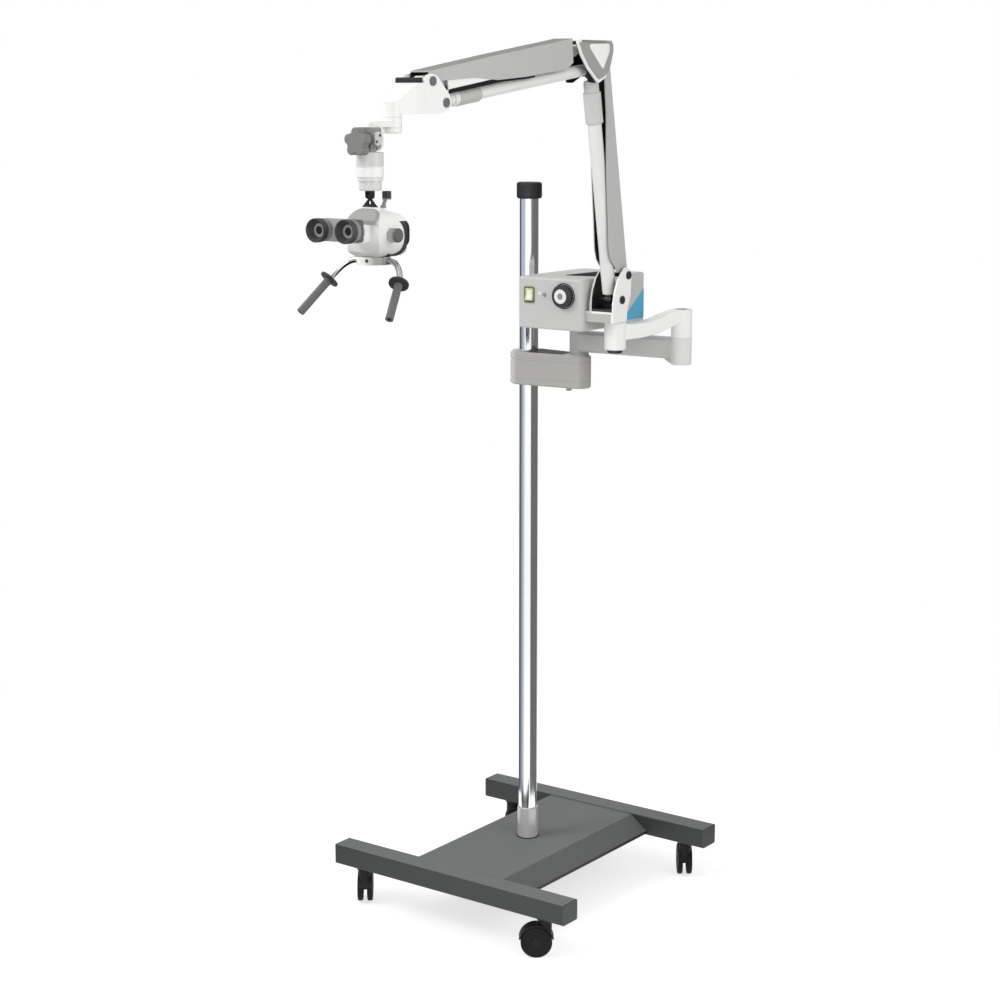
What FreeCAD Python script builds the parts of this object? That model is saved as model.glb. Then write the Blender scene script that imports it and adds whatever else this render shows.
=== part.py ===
import FreeCAD, Part
import math
import os

# Surgical microscope on a wheeled floor stand, millimetres, +Z up.
# The origin is the centre of the casters' footprint on the floor.
# +X runs along the base rails, -Y points to the side where the user stands.

# Fits shared by every pair of pieces
RUN_GAP = 0.05
FACE_GAP = 0.2
PIN_GAP = 0.05
OPEN_PIVOT_GAP = 0.15

# Base: two rails along X joined by a folded deck
RAIL_LENGTH = 600.0
RAIL_WIDTH = 50.0
RAIL_HEIGHT = 44.0
RAIL_BOTTOM = 85.0
RAIL_WALL = 3.0
RAIL_CORNER = 3.0
RAIL_OFFSET = 275.0
CAP_THICK = 3.0
CAP_PLUG = 12.0
DECK_FLAT = 112.0
DECK_SKIRT = 152.0
DECK_SINK = 3.0
DECK_BEVEL_Z = 95.0
DECK_LIP_Z = 88.0
SHEET = 3.0
BALLAST_HALF_X = 104.0
BALLAST_HALF_Y = 236.0
BALLAST_BOTTOM = 92.0

# Twin-wheel casters
CASTER_X = 240.0
CASTER_TRAIL = 18.0
WHEEL_R = 32.5
WHEEL_INNER = 5.0
WHEEL_OUTER = 16.0
WHEEL_ROUND = 2.5
AXLE_R = 4.0
STEM_R = 6.0
STEM_TOP = 112.0
BUSH_R = 12.0
BUSH_TOP = 116.0
HOOD_R = 36.5
HOOD_GAP = 1.2
HOOD_HALF = 15.5
WEB_HALF = 3.8
SWIVEL_R = 14.0
CASTER_TURN = {"fl": 126.0, "fr": 216.0, "rl": 36.0, "rr": 126.0}

# Column, its socket and its cap
COLUMN_R = 20.0
COLUMN_BORE_R = 17.0
COLUMN_FOOT = 92.0
COLUMN_TOP = 1522.0
SOCKET_R = 22.5
SOCKET_TOP = 195.0
COLUMN_CAP_R = 26.5
COLUMN_CAP_TOP = 1556.0
COLUMN_CAP_ROUND = 5.0
COLUMN_PLUG = 24.0

# Height clamp on the column
CLAMP_BOTTOM = 1135.0
CLAMP_TOP = 1205.0
CLAMP_R = 39.0
CLAMP_END_R = 25.0
CLAMP_PIVOT_X = 128.0
CLAMP_CHAMFER = 5.0
CLAMP_SPLIT_X = 6.0
CLAMP_FOOT_X = 103.0
CLAMP_FOOT_R = 6.0
CLAMP_FOOT_DROP = 7.0
SCREW_HEAD_R = 5.0
SCREW_HEAD_LEN = 6.0
SCREW_R = 3.0
SCREW_Y = 30.0
SCREW_Z_LOW = 1151.0
SCREW_Z_HIGH = 1189.0
SCREW_SEAT_X = -12.0
SCREW_END_X = 26.0

# Lower extension arm, in the plane above the clamp
ARM_B_R = 20.0
ARM_B_END_R = 21.0
ARM_B_BOTTOM = 1207.0
ARM_B_TOP = 1256.0
ARM_B_END = (367.5, 12.0)
ARM_B_HALF_ROOT = 19.0
ARM_B_HALF_TIP = 17.0
ARM_B_FOOT_Z = 1201.0
ARM_B_SPIGOT_R = 14.0
ARM_B_SPIGOT_Z = 1143.0
ARM_C_SPIGOT_R = 10.0
ARM_C_SPIGOT_Z = 1210.0

# Upper extension arm
ARM_C_TOP = 1312.0
ARM_C_HUB_R = 21.0
ARM_C_END_R = 21.5
ARM_C_END_BOTTOM = 1243.0
ARM_C_END_TOP = 1298.0
ARM_C_HALF = 16.0
TURRET_X = 314.0
TURRET_Y = -150.0
TURRET_SPIGOT_R = 10.0
HUB_CAP_R = 12.0
HUB_CAP_BOTTOM = 1236.0

# Turret bracket and its pins (Y, Z)
PIN_R = 4.0
PIN_CAP_R = 8.0
PIN_CAP = 2.5
EYE_R = 7.8
PLATE_IN = 24.0
PLATE_OUT = 28.0
B1 = (-170.0, 1343.5)
B2 = (-148.0, 1390.0)
LOWER_REACH = (-75.0, 429.0)
L1 = (B1[0] + LOWER_REACH[0], B1[1] + LOWER_REACH[1])
L2 = (B2[0] + LOWER_REACH[0], B2[1] + LOWER_REACH[1])
BRACKET_BASE_Z = 1300.0
BRACKET_FLOOR_Z = 1321.0
BRACKET_FRONT = -199.0
BRACKET_BACK = -129.0

# Control box
BOX_X0 = 121.0
BOX_X1 = 276.0
BOX_Y0 = -210.0
BOX_Y1 = 19.0
BOX_Z0 = 1280.0
BOX_Z1 = 1382.0
BOX_ROUND = 9.0
BOX_SKIN = 3.0
KNOB_X = 233.0
KNOB_Z = BOX_Z0 + 67.9
KNOB_R = 22.5
KNOB_LEN = 13.0
KNOB_FACE_R = 14.0
KNOB_DOT_R = 6.0
KNOB_SHAFT_R = 3.0
ROCKER_X = 150.3
ROCKER_Z = BOX_Z0 + 66.4
ROCKER_HALF_W = 9.0
ROCKER_HALF_H = 13.0
ROCKER_FRAME = 3.0
ROCKER_TILT = 6.0
ROCKER_PIVOT_R = 1.5
BUTTON_X = 186.6
BUTTON_Z = BOX_Z0 + 68.0
BUTTON_R = 3.4
BUTTON_OUT = 2.0
INLET_X = 200.0
INLET_Z = 1318.0
INLET_HALF_W = 24.0
INLET_HALF_H = 15.5
INLET_HOLE_W = 12.0
INLET_HOLE_H = 8.5

# Lower parallel link: channel on the rear pins, guide rod on the front pins
CHANNEL_OUT = 18.0
CHANNEL_WALL = 2.0
CHANNEL_EAR = 6.0
CHANNEL_SHIFT = 8.2
ROD_EYE_HALF = 7.0
LOWER_TUBE_R = 13.5
LOWER_TUBE_BORE = 11.0
LOWER_SLEEVE_R = 17.0
LOWER_SLEEVE_S0 = 343.0
LOWER_SLEEVE_S1 = 403.0
LOWER_COLLAR_R = 14.5
LOWER_COLLAR_S1 = 422.0
ROD_START = 11.0
EYE_STEM = 26.0

# Knuckle between the two parallel links
K1 = (-297.0, 1818.0)
K2 = (-260.0, 1782.0)
UPPER_REACH = (-463.0, -59.0)
F1 = (K1[0] + UPPER_REACH[0], K1[1] + UPPER_REACH[1])
F2 = (K2[0] + UPPER_REACH[0], K2[1] + UPPER_REACH[1])
TRIM_OUT = 31.0
COVER_OUT = 32.2
COVER_INSET = 5.5
KNUCKLE_TOP = 1835.0

# Upper parallel link
UPPER_BAR_HALF = 9.0
UPPER_BAR_UP = 8.0
UPPER_BAR_DOWN = 11.0
UPPER_COVER_OUT = 21.0
UPPER_TUBE_R = 11.2
UPPER_TUBE_BORE = 9.0
UPPER_SLEEVE_R = 14.5
UPPER_SLEEVE_S0 = 346.0
UPPER_SLEEVE_S1 = 408.0
UPPER_RING_R = 13.2
UPPER_RING_S1 = 420.0

# Front carriage and the swing link under it
CARRIAGE_IN = 22.0
CARRIAGE_OUT = 26.0
CARRIAGE_HUB_Y = -837.0
CARRIAGE_HUB_R = 16.5
CARRIAGE_HUB_BOTTOM = 1700.0
CARRIAGE_HUB_TOP = 1723.0
SWING_BOTTOM = 1682.5
SWING_SPIGOT_R = 7.0
SWING_CAP_BOTTOM = 1673.0
SWING_ARM_Z0 = 1684.0
SWING_ARM_Z1 = 1693.0

# Hanging joint over the head
HANG_Y = -896.0
TILT_Z = 1660.5
TILT_BOLT_R = 4.0
LUG_BACK = -877.0
LUG_FRONT = -885.0
TILT_HALF = 16.0
TILT_TOP = 1684.0
TILT_FRONT = -911.0
STAR_SET = 8.6
STAR_R = 24.0
STAR_LEN = 15.0
STAR_LOBES = 5
BARREL_R = 22.8
BARREL_TOP = 1643.8
BARREL_BOTTOM = 1603.0
ROTOR_R = 21.5
ROTOR_BOTTOM = 1581.0
ROTOR_SKIRT_R = 19.0
ROTOR_SKIRT_TOP = 1597.0
SPINDLE_R = 8.0
SPINDLE_TOP = 1638.0
PITCH_Y = -897.0
PITCH_Z = 1572.5
PITCH_PIN_R = 2.2
YOKE_EAR_R = 5.2
YOKE_EAR_IN = 3.2
YOKE_EAR_OUT = 6.2

# Microscope head
HEAD_HALF = 34.0
HEAD_TOP = 1549.0
HEAD_PAD_TOP = 1554.0
HEAD_BOTTOM = 1472.0
HEAD_ROUND_TOP = 24.0
HEAD_ROUND_LOW = 14.0
HEAD_FRONT = -916.0
HEAD_REAR = -843.0
NOSE_HALF = 17.0
NOSE_FRONT = -944.0
LENS_Y = -889.0
LENS_RING_R = 28.0
LENS_RING_BOTTOM = 1459.0
LENS_SEAT_R = 21.0
LENS_SEAT_DEPTH = 4.0
LENS_R = 19.5
SIDE_DISC_Y = -887.0
SIDE_DISC_Z = 1508.5
SIDE_DISC_R = 15.0
SIDE_DISC_PROUD = 2.0
SIDE_DISC_OUT = TURRET_X + HEAD_HALF + SIDE_DISC_PROUD
MAG_KNOB_R = 11.8
MAG_KNOB_LEN = 18.0
MAG_SHAFT_R = 4.0
REAR_CAP_R = 28.3
REAR_CAP_Z = 1497.5
REAR_CAP_THICK = 10.0
LEVER_Y = -863.0
LEVER_LEAN = 9.0

# Binocular tube
INCLINE_Y = -952.0
INCLINE_Z = 1516.0
INCLINE_HUB_R = 13.0
INCLINE_PIN_R = 5.0
BRIDGE_FRONT = -978.0
BRIDGE_BACK = -967.0
EYE_X = 31.0
EYE_Z = 1519.5
EYE_TUBE_R = 18.5
EYE_TUBE_BACK = -978.2
EYE_TUBE_FRONT = -988.0
EYE_CUP_R = 19.8
EYE_CUP_FRONT = -1002.0
EYE_RING_R = 11.5
EYE_GLASS_R = 7.5
SLIDE_TONGUE = 8.0
SLIDE_TRAVEL = 6.0

# Handles
HANDLE_X = 31.5
HANDLE_Y = -889.0
HANDLE_Z = 1465.5
HANDLE_R = 5.0
FLANGE_R = 17.0
FLANGE_THICK = 3.0
GRIP_R = 6.8
GRIP_LEN = 78.0
GRIP_DIR = (22.2, -54.4, -55.9)
FLANGE_AT = (74.5, -915.0, 1433.0)

AX = {"x": (1, 0, 0), "y": (0, 1, 0), "z": (0, 0, 1)}


def vec(point):
    return FreeCAD.Vector(point[0], point[1], point[2])


def box(x0, x1, y0, y1, z0, z1):
    return Part.makeBox(x1 - x0, y1 - y0, z1 - z0, FreeCAD.Vector(x0, y0, z0))


def cyl(radius, start, end):
    axis = vec(end) - vec(start)
    return Part.makeCylinder(radius, axis.Length, vec(start), axis)


def ring(outer, inner, start, end):
    return cyl(outer, start, end).cut(cyl(inner, start, end))


def lift(axis, level, pair):
    if axis == "x":
        return FreeCAD.Vector(level, pair[0], pair[1])
    if axis == "y":
        return FreeCAD.Vector(pair[0], level, pair[1])
    return FreeCAD.Vector(pair[0], pair[1], level)


def prism(points, axis, low, high):
    corners = [lift(axis, low, p) for p in points]
    face = Part.Face(Part.makePolygon(corners + corners[:1]))
    return face.extrude(vec(AX[axis]) * (high - low))


def disc(centre, radius, axis, low, high):
    return Part.makeCylinder(radius, high - low, lift(axis, low, centre), vec(AX[axis]))


def strap(first, r1, second, r2, axis, low, high):
    dx = second[0] - first[0]
    dy = second[1] - first[1]
    heading = math.atan2(dy, dx)
    spread = math.acos((r1 - r2) / math.hypot(dx, dy))
    turns = [heading + spread, heading - spread]
    near = [(first[0] + r1 * math.cos(t), first[1] + r1 * math.sin(t)) for t in turns]
    far = [(second[0] + r2 * math.cos(t), second[1] + r2 * math.sin(t)) for t in turns]
    body = prism([near[0], far[0], far[1], near[1]], axis, low, high)
    return fuse(body, disc(first, r1, axis, low, high), disc(second, r2, axis, low, high))


def fuse(first, *rest):
    whole = first.multiFuse(list(rest)) if rest else first
    return whole.removeSplitter()


def cut(first, *rest):
    for tool in rest:
        first = first.cut(tool)
    return first


def soften(shape, radius, test):
    edges = [e for e in shape.Edges if test(e)]
    return shape.makeFillet(radius, edges)


def bevel(shape, size, test):
    edges = [e for e in shape.Edges if test(e)]
    return shape.makeChamfer(size, edges)


def is_along(axis):
    way = vec(AX[axis])

    def test(edge):
        if not isinstance(edge.Curve, Part.Line):
            return False
        return abs(abs(edge.Curve.Direction.dot(way)) - 1.0) < 1e-6
    return test


def at_level(axis, level):
    place = "xyz".index(axis)

    def test(edge):
        return all(abs(v.Point[place] - level) < 1e-4 for v in edge.Vertexes)
    return test


def turned(shape, point, axis, degrees):
    copy = shape.copy()
    copy.rotate(vec(point), vec(axis), degrees)
    return copy


def moved(shape, shift):
    copy = shape.copy()
    copy.translate(vec(shift))
    return copy


def mirror_x(shape, level):
    return shape.mirror(FreeCAD.Vector(level, 0, 0), FreeCAD.Vector(1, 0, 0))


def unit(pair):
    size = math.hypot(pair[0], pair[1])
    return (pair[0] / size, pair[1] / size)


def placed(origin, along, across, points):
    out = []
    for s, d in points:
        out.append((origin[0] + s * along[0] + d * across[0],
                    origin[1] + s * along[1] + d * across[1]))
    return out


def both_sides(build):
    right = build(1)
    left = build(-1)
    return [right, left]


PARTS = {}


def keep(name, *shapes):
    solids = []
    for shape in shapes:
        solids += shape.Solids
    for solid in solids:
        assert solid.isValid(), name
    PARTS[name] = solids[0] if len(solids) == 1 else Part.makeCompound(solids)


RAIL_TOP = RAIL_BOTTOM + RAIL_HEIGHT
DECK_TOP = RAIL_TOP - DECK_SINK
RAIL_INNER = RAIL_OFFSET - RAIL_WIDTH / 2


def rail(side):
    centre = side * RAIL_OFFSET
    half = RAIL_WIDTH / 2
    end = RAIL_LENGTH / 2
    body = box(-end, end, centre - half, centre + half, RAIL_BOTTOM, RAIL_TOP)
    body = soften(body, RAIL_CORNER, is_along("x"))
    inner = half - RAIL_WALL
    hollow = box(-end, end, centre - inner, centre + inner, RAIL_BOTTOM + RAIL_WALL, RAIL_TOP - RAIL_WALL)
    body = body.cut(hollow)
    for x in (-CASTER_X, CASTER_X):
        floor = RAIL_BOTTOM + RAIL_WALL
        body = fuse(body, cyl(BUSH_R, (x, centre, floor), (x, centre, BUSH_TOP)))
        body = body.cut(cyl(STEM_R + RUN_GAP, (x, centre, RAIL_BOTTOM - 1), (x, centre, BUSH_TOP - SHEET)))
    return body


def rail_cap(end_side, side):
    centre = side * RAIL_OFFSET
    half = RAIL_WIDTH / 2
    end = RAIL_LENGTH / 2
    inner = half - RAIL_WALL
    plate = box(end, end + CAP_THICK, centre - half, centre + half, RAIL_BOTTOM, RAIL_TOP)
    plate = soften(plate, RAIL_CORNER, is_along("x"))
    plate = bevel(plate, 1.2, at_level("x", end + CAP_THICK))
    plug = box(end - CAP_PLUG, end, centre - inner, centre + inner, RAIL_BOTTOM + RAIL_WALL, RAIL_TOP - RAIL_WALL)
    body = fuse(plate, plug)
    return body if end_side > 0 else mirror_x(body, 0)


keep("base_rails", rail(-1), rail(1))

slope = math.atan2(DECK_TOP - DECK_BEVEL_Z, DECK_SKIRT - DECK_FLAT)
shift = SHEET * math.tan(slope / 2)
lift_in = SHEET * math.tan((math.pi / 2 - slope) / 2)
outer = [(DECK_SKIRT, DECK_LIP_Z), (DECK_SKIRT, DECK_BEVEL_Z), (DECK_FLAT, DECK_TOP)]
inner = [(DECK_FLAT - shift, DECK_TOP - SHEET), (DECK_SKIRT - SHEET, DECK_BEVEL_Z - lift_in),
         (DECK_SKIRT - SHEET, DECK_LIP_Z)]
outline = outer + [(-x, z) for x, z in reversed(outer)] + [(-x, z) for x, z in reversed(inner)] + inner
deck = prism(outline, "y", -RAIL_INNER, RAIL_INNER)
deck = deck.cut(cyl(COLUMN_R, (0, 0, DECK_LIP_Z), (0, 0, DECK_TOP + 1)))
keep("deck_plate", deck)

ballast = box(-BALLAST_HALF_X, BALLAST_HALF_X, -BALLAST_HALF_Y, BALLAST_HALF_Y, BALLAST_BOTTOM, DECK_TOP - SHEET)
ballast = ballast.cut(cyl(COLUMN_R, (0, 0, BALLAST_BOTTOM), (0, 0, DECK_TOP)))
keep("ballast_weight", ballast)


def caster(name, x_side, y_side):
    x = x_side * CASTER_X
    y = y_side * RAIL_OFFSET
    axle = (x + CASTER_TRAIL, y, WHEEL_R)
    top = cyl(HOOD_R, (axle[0], y - HOOD_HALF, WHEEL_R), (axle[0], y + HOOD_HALF, WHEEL_R))
    keep_box = box(x - 60, x + 80, y - 40, y + 40, WHEEL_R + 7, 100)
    top = top.common(keep_box)
    boss = cyl(SWIVEL_R, (x, y, 46), (x, y, RAIL_BOTTOM - 4))
    race = cyl(SWIVEL_R + 3, (x, y, RAIL_BOTTOM - 6), (x, y, RAIL_BOTTOM - FACE_GAP))
    body = fuse(top, boss, race)
    for low, high in ((WEB_HALF, 30), (-30, -WEB_HALF)):
        well = cyl(WHEEL_R + HOOD_GAP, (axle[0], y + low, WHEEL_R), (axle[0], y + high, WHEEL_R))
        body = body.cut(well)
    web = strap((axle[0], WHEEL_R), 9.0, (x + 9.0, 58.0), 13.0, "y", y - WEB_HALF, y + WEB_HALF)
    stem = cyl(STEM_R, (x, y, RAIL_BOTTOM - 8), (x, y, STEM_TOP))
    body = fuse(body, web, stem)
    bore = cyl(AXLE_R + RUN_GAP, (axle[0], y - 30, WHEEL_R), (axle[0], y + 30, WHEEL_R))
    body = body.cut(bore)
    wheels = [cyl(AXLE_R, (axle[0], y - WHEEL_INNER, WHEEL_R), (axle[0], y + WHEEL_INNER, WHEEL_R))]
    for side in (-1, 1):
        low = min(side * WHEEL_INNER, side * WHEEL_OUTER)
        high = max(side * WHEEL_INNER, side * WHEEL_OUTER)
        wheel = cyl(WHEEL_R, (axle[0], y + low, WHEEL_R), (axle[0], y + high, WHEEL_R))
        wheel = wheel.makeFillet(WHEEL_ROUND, [e for e in wheel.Edges if isinstance(e.Curve, Part.Circle)])
        wheels.append(wheel)
    turn = CASTER_TURN[name]
    keep("caster_hood_" + name, turned(body, (x, y, 0), (0, 0, 1), turn))
    keep("caster_wheels_" + name, *[turned(w, (x, y, 0), (0, 0, 1), turn) for w in wheels])


caster("fl", -1, -1)
caster("fr", 1, -1)
caster("rl", -1, 1)
caster("rr", 1, 1)

socket = ring(SOCKET_R, COLUMN_R, (0, 0, DECK_TOP), (0, 0, SOCKET_TOP))
socket = bevel(socket, 1.2, lambda e: at_level("z", SOCKET_TOP)(e) and e.BoundBox.XMax > COLUMN_R + 1)
column = ring(COLUMN_R, COLUMN_BORE_R, (0, 0, COLUMN_FOOT), (0, 0, COLUMN_TOP))
keep("column_tube", column, socket)
cap = cyl(COLUMN_CAP_R, (0, 0, COLUMN_TOP), (0, 0, COLUMN_CAP_TOP))
cap = cap.makeFillet(COLUMN_CAP_ROUND, [e for e in cap.Edges if isinstance(e.Curve, Part.Circle)])
plug = cyl(COLUMN_BORE_R, (0, 0, COLUMN_TOP - COLUMN_PLUG), (0, 0, COLUMN_TOP))
keep("end_caps", rail_cap(1, 1), rail_cap(-1, 1), rail_cap(1, -1), rail_cap(-1, -1), fuse(cap, plug))

# Clamp: a split block round the column with the first arm pivot at its end
P1 = (CLAMP_PIVOT_X, 0.0)
block = strap((0, 0), CLAMP_R, P1, CLAMP_END_R, "z", CLAMP_BOTTOM, CLAMP_TOP)
block = bevel(block, CLAMP_CHAMFER, at_level("z", CLAMP_TOP))
block = bevel(block, CLAMP_CHAMFER / 2, at_level("z", CLAMP_BOTTOM))
foot = cyl(CLAMP_FOOT_R, (CLAMP_FOOT_X, 0, CLAMP_BOTTOM - CLAMP_FOOT_DROP), (CLAMP_FOOT_X, 0, CLAMP_BOTTOM + 2))
block = fuse(block, foot)
block = block.cut(cyl(COLUMN_R + RUN_GAP, (0, 0, 1000), (0, 0, 1300)))
block = block.cut(cyl(ARM_B_SPIGOT_R + RUN_GAP, (P1[0], 0, ARM_B_SPIGOT_Z - 1), (P1[0], 0, 1300)))
left = box(-80, CLAMP_SPLIT_X, -80, 80, 1100, 1300)
right = box(CLAMP_SPLIT_X, 220, -80, 80, 1100, 1300)
jaw = block.common(left)
clamp = block.common(right)
screws = []
for y in (-SCREW_Y, SCREW_Y):
    for z in (SCREW_Z_LOW, SCREW_Z_HIGH):
        head_x = SCREW_SEAT_X - SCREW_HEAD_LEN
        jaw = jaw.cut(cyl(SCREW_HEAD_R + FACE_GAP, (-60, y, z), (SCREW_SEAT_X, y, z)))
        jaw = jaw.cut(cyl(SCREW_R, (SCREW_SEAT_X, y, z), (CLAMP_SPLIT_X, y, z)))
        clamp = clamp.cut(cyl(SCREW_R, (CLAMP_SPLIT_X, y, z), (SCREW_END_X, y, z)))
        head = cyl(SCREW_HEAD_R, (head_x, y, z), (SCREW_SEAT_X, y, z))
        head = head.cut(cyl(2.5, (head_x, y, z), (head_x + 3, y, z)))
        screws.append(fuse(head, cyl(SCREW_R, (SCREW_SEAT_X, y, z), (SCREW_END_X, y, z))))
keep("clamp_body", clamp, jaw)
keep("clamp_screws", *screws)

# Lower extension arm
hub = disc(P1, ARM_B_R, "z", ARM_B_BOTTOM, ARM_B_TOP)
hub = bevel(hub, 2.0, lambda e: isinstance(e.Curve, Part.Circle))
tip = disc(ARM_B_END, ARM_B_END_R, "z", ARM_B_FOOT_Z, ARM_B_TOP)
tip = bevel(tip, 1.5, at_level("z", ARM_B_FOOT_Z))
beam = strap(P1, ARM_B_HALF_ROOT, ARM_B_END, ARM_B_HALF_TIP, "z", ARM_B_BOTTOM + 5, ARM_B_TOP - 2)
beam = bevel(beam, 6.0, at_level("z", ARM_B_TOP - 2))
beam = bevel(beam, 4.0, at_level("z", ARM_B_BOTTOM + 5))
gusset = prism([(ARM_B_END[0] - 42, ARM_B_BOTTOM + 10), (ARM_B_END[0] - 21, ARM_B_FOOT_Z + 3),
                (ARM_B_END[0], ARM_B_FOOT_Z + 3), (ARM_B_END[0], ARM_B_BOTTOM + 10)], "y",
               ARM_B_END[1] - 12, ARM_B_END[1] + 12)
washer = disc(P1, ARM_B_SPIGOT_R + 6, "z", CLAMP_TOP + FACE_GAP, ARM_B_BOTTOM + 1)
spigot = disc(P1, ARM_B_SPIGOT_R, "z", ARM_B_SPIGOT_Z, ARM_B_BOTTOM + 1)
arm_b = fuse(beam, hub, tip, gusset, washer, spigot)
arm_b = arm_b.cut(disc(ARM_B_END, ARM_C_SPIGOT_R + RUN_GAP, "z", ARM_C_SPIGOT_Z - 1, ARM_B_TOP + 5))
keep("lower_extension_arm", arm_b)

# Upper extension arm: sloping beam between two hubs
TURRET = (TURRET_X, TURRET_Y)
reach = math.hypot(TURRET[0] - ARM_B_END[0], TURRET[1] - ARM_B_END[1])
azimuth = math.degrees(math.atan2(TURRET[1] - ARM_B_END[1], TURRET[0] - ARM_B_END[0]))
top_end = ARM_C_END_TOP - 2
low_end = ARM_C_END_TOP - 36
top_start = ARM_C_TOP - 1
low_start = ARM_C_TOP - 24
top_edge = [(-4.0, top_start), (30.0, top_start - 1), (75.0, top_end + 2), (120.0, top_end - 3), (reach + 4, top_end)]
low_edge = [(reach + 4, low_end), (120.0, low_end + 1), (75.0, low_end + 7), (35.0, low_start - 8),
            (-4.0, low_start)]
upper_curve = Part.BSplineCurve()
upper_curve.interpolate([FreeCAD.Vector(s, 0, z) for s, z in top_edge])
lower_curve = Part.BSplineCurve()
lower_curve.interpolate([FreeCAD.Vector(s, 0, z) for s, z in low_edge])
ends = [Part.makeLine(vec((reach + 4, 0, top_end)), vec((reach + 4, 0, low_end))),
        Part.makeLine(vec((-4.0, 0, low_start)), vec((-4.0, 0, top_start)))]
side = Part.Wire([upper_curve.toShape(), ends[0], lower_curve.toShape(), ends[1]])
beam = Part.Face(side).extrude(vec((0, 2 * ARM_C_HALF, 0)))
beam = moved(beam, (0, -ARM_C_HALF, 0))
beam = soften(beam, 3.5, lambda e: isinstance(e.Curve, Part.BSplineCurve))
beam = moved(turned(beam, (0, 0, 0), (0, 0, 1), azimuth), (ARM_B_END[0], ARM_B_END[1], 0))
hub = disc(ARM_B_END, ARM_C_HUB_R, "z", ARM_B_TOP + FACE_GAP, ARM_C_TOP)
hub = soften(hub, 2.0, at_level("z", ARM_C_TOP))
end_hub = disc(TURRET, ARM_C_END_R, "z", ARM_C_END_BOTTOM, ARM_C_END_TOP)
end_hub = bevel(end_hub, 1.5, at_level("z", ARM_C_END_BOTTOM))
spigot = disc(ARM_B_END, ARM_C_SPIGOT_R, "z", ARM_C_SPIGOT_Z, ARM_B_TOP + 5)
arm_c = fuse(beam, hub, end_hub, spigot)
arm_c = arm_c.cut(disc(TURRET, TURRET_SPIGOT_R + RUN_GAP, "z", 1200, 1400))
keep("upper_extension_arm", arm_c)

# Turret bracket: two cheeks on a base that turns on the upper arm
X = TURRET_X
cheek_line = [(-161.0, 1404.5), (-151.0, 1406.0), (-139.0, 1397.0), (-136.5, 1386.0), (-138.5, 1349.0),
              (-150.0, 1322.0), (-152.0, 1300.0), (-199.0, 1300.0), (-199.0, 1336.0), (-193.0, 1362.0),
              (-182.0, 1384.0)]
cheek = prism(cheek_line, "x", X + PLATE_IN, X + PLATE_OUT)
cheek = soften(cheek, 5.0, lambda e: is_along("x")(e) and e.Vertexes[0].Point[2] > 1318)
cheek = cheek.cut(disc(B1, PIN_R, "x", X, X + 40)).cut(disc(B2, PIN_R, "x", X, X + 40))
base = box(BOX_X1, X + PLATE_OUT, BRACKET_FRONT, -152.0, BRACKET_BASE_Z, BRACKET_FLOOR_Z)
ledge = disc(TURRET, ARM_C_END_R, "z", BRACKET_BASE_Z - 1.5, BRACKET_FLOOR_Z)
bracket = fuse(base, ledge, cheek, mirror_x(cheek, X))
spigot = disc(TURRET, TURRET_SPIGOT_R, "z", ARM_C_END_BOTTOM - FACE_GAP, BRACKET_BASE_Z)
keep("turret_bracket", fuse(bracket, spigot))
hub_cap = disc(TURRET, HUB_CAP_R + 3, "z", HUB_CAP_BOTTOM, ARM_C_END_BOTTOM - FACE_GAP)
hub_cap = bevel(hub_cap, 2.0, at_level("z", HUB_CAP_BOTTOM))
liner = box(X - PLATE_IN, X + PLATE_IN, -196.0, -156.0, BRACKET_FLOOR_Z, BRACKET_FLOOR_Z + 4)
liner_back = box(X - PLATE_IN, X + PLATE_IN, -156.0, -152.5, BRACKET_FLOOR_Z, 1334.0)
liner = fuse(liner, liner_back)


def pivot(centre, outer):
    body = disc(centre, PIN_R, "x", X - outer, X + outer)
    for low, high in ((X + outer, X + outer + PIN_CAP), (X - outer - PIN_CAP, X - outer)):
        head = disc(centre, PIN_CAP_R, "x", low, high)
        body = fuse(body, head)
    return body


keep("bracket_pins", pivot(B1, PLATE_OUT), pivot(B2, PLATE_OUT), liner, hub_cap)

# Control box beside the bracket
shell = box(BOX_X0, BOX_X1, BOX_Y0, BOX_Y1, BOX_Z0, BOX_Z1)
shell = soften(shell, BOX_ROUND, is_along("z"))
shell = soften(shell, 5.0, at_level("z", BOX_Z1))
shell = soften(shell, 3.0, at_level("z", BOX_Z0))
skin = BOX_SKIN
hollow = box(BOX_X0 + skin, BOX_X1 - skin, BOX_Y0 + skin, BOX_Y1 - skin, BOX_Z0 - 1, BOX_Z1 - skin)
hollow = soften(hollow, BOX_ROUND - skin, is_along("z"))
shell = shell.cut(hollow)
shell = shell.cut(disc((KNOB_X, KNOB_Z), KNOB_SHAFT_R + RUN_GAP, "y", BOX_Y0 - 1, BOX_Y0 + 10))
frame_w = ROCKER_HALF_W + ROCKER_FRAME
frame_h = ROCKER_HALF_H + ROCKER_FRAME
shell = shell.cut(box(ROCKER_X - frame_w + 1.5, ROCKER_X + frame_w - 1.5, BOX_Y0 - 1, BOX_Y0 + 10,
                      ROCKER_Z - frame_h + 1.5, ROCKER_Z + frame_h - 1.5))
shell = shell.cut(disc((BUTTON_X, BUTTON_Z), BUTTON_R + RUN_GAP, "y", BOX_Y0 - 1, BOX_Y0 + 10))
shell = shell.cut(box(INLET_X - INLET_HALF_W + 2, INLET_X + INLET_HALF_W - 2, BOX_Y1 - 10, BOX_Y1 + 1,
                      INLET_Z - INLET_HALF_H + 2, INLET_Z + INLET_HALF_H - 2))
plate = box(BOX_X0 + skin, BOX_X1 - skin, BOX_Y0 + skin, BOX_Y1 - skin, BOX_Z0 + 1, BOX_Z0 + 4)
plate = soften(plate, BOX_ROUND - skin, is_along("z"))
keep("control_housing", shell, plate)
supply = box(145, 245, -130, -30, BOX_Z0 + 4, BOX_Z0 + 40)
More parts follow.
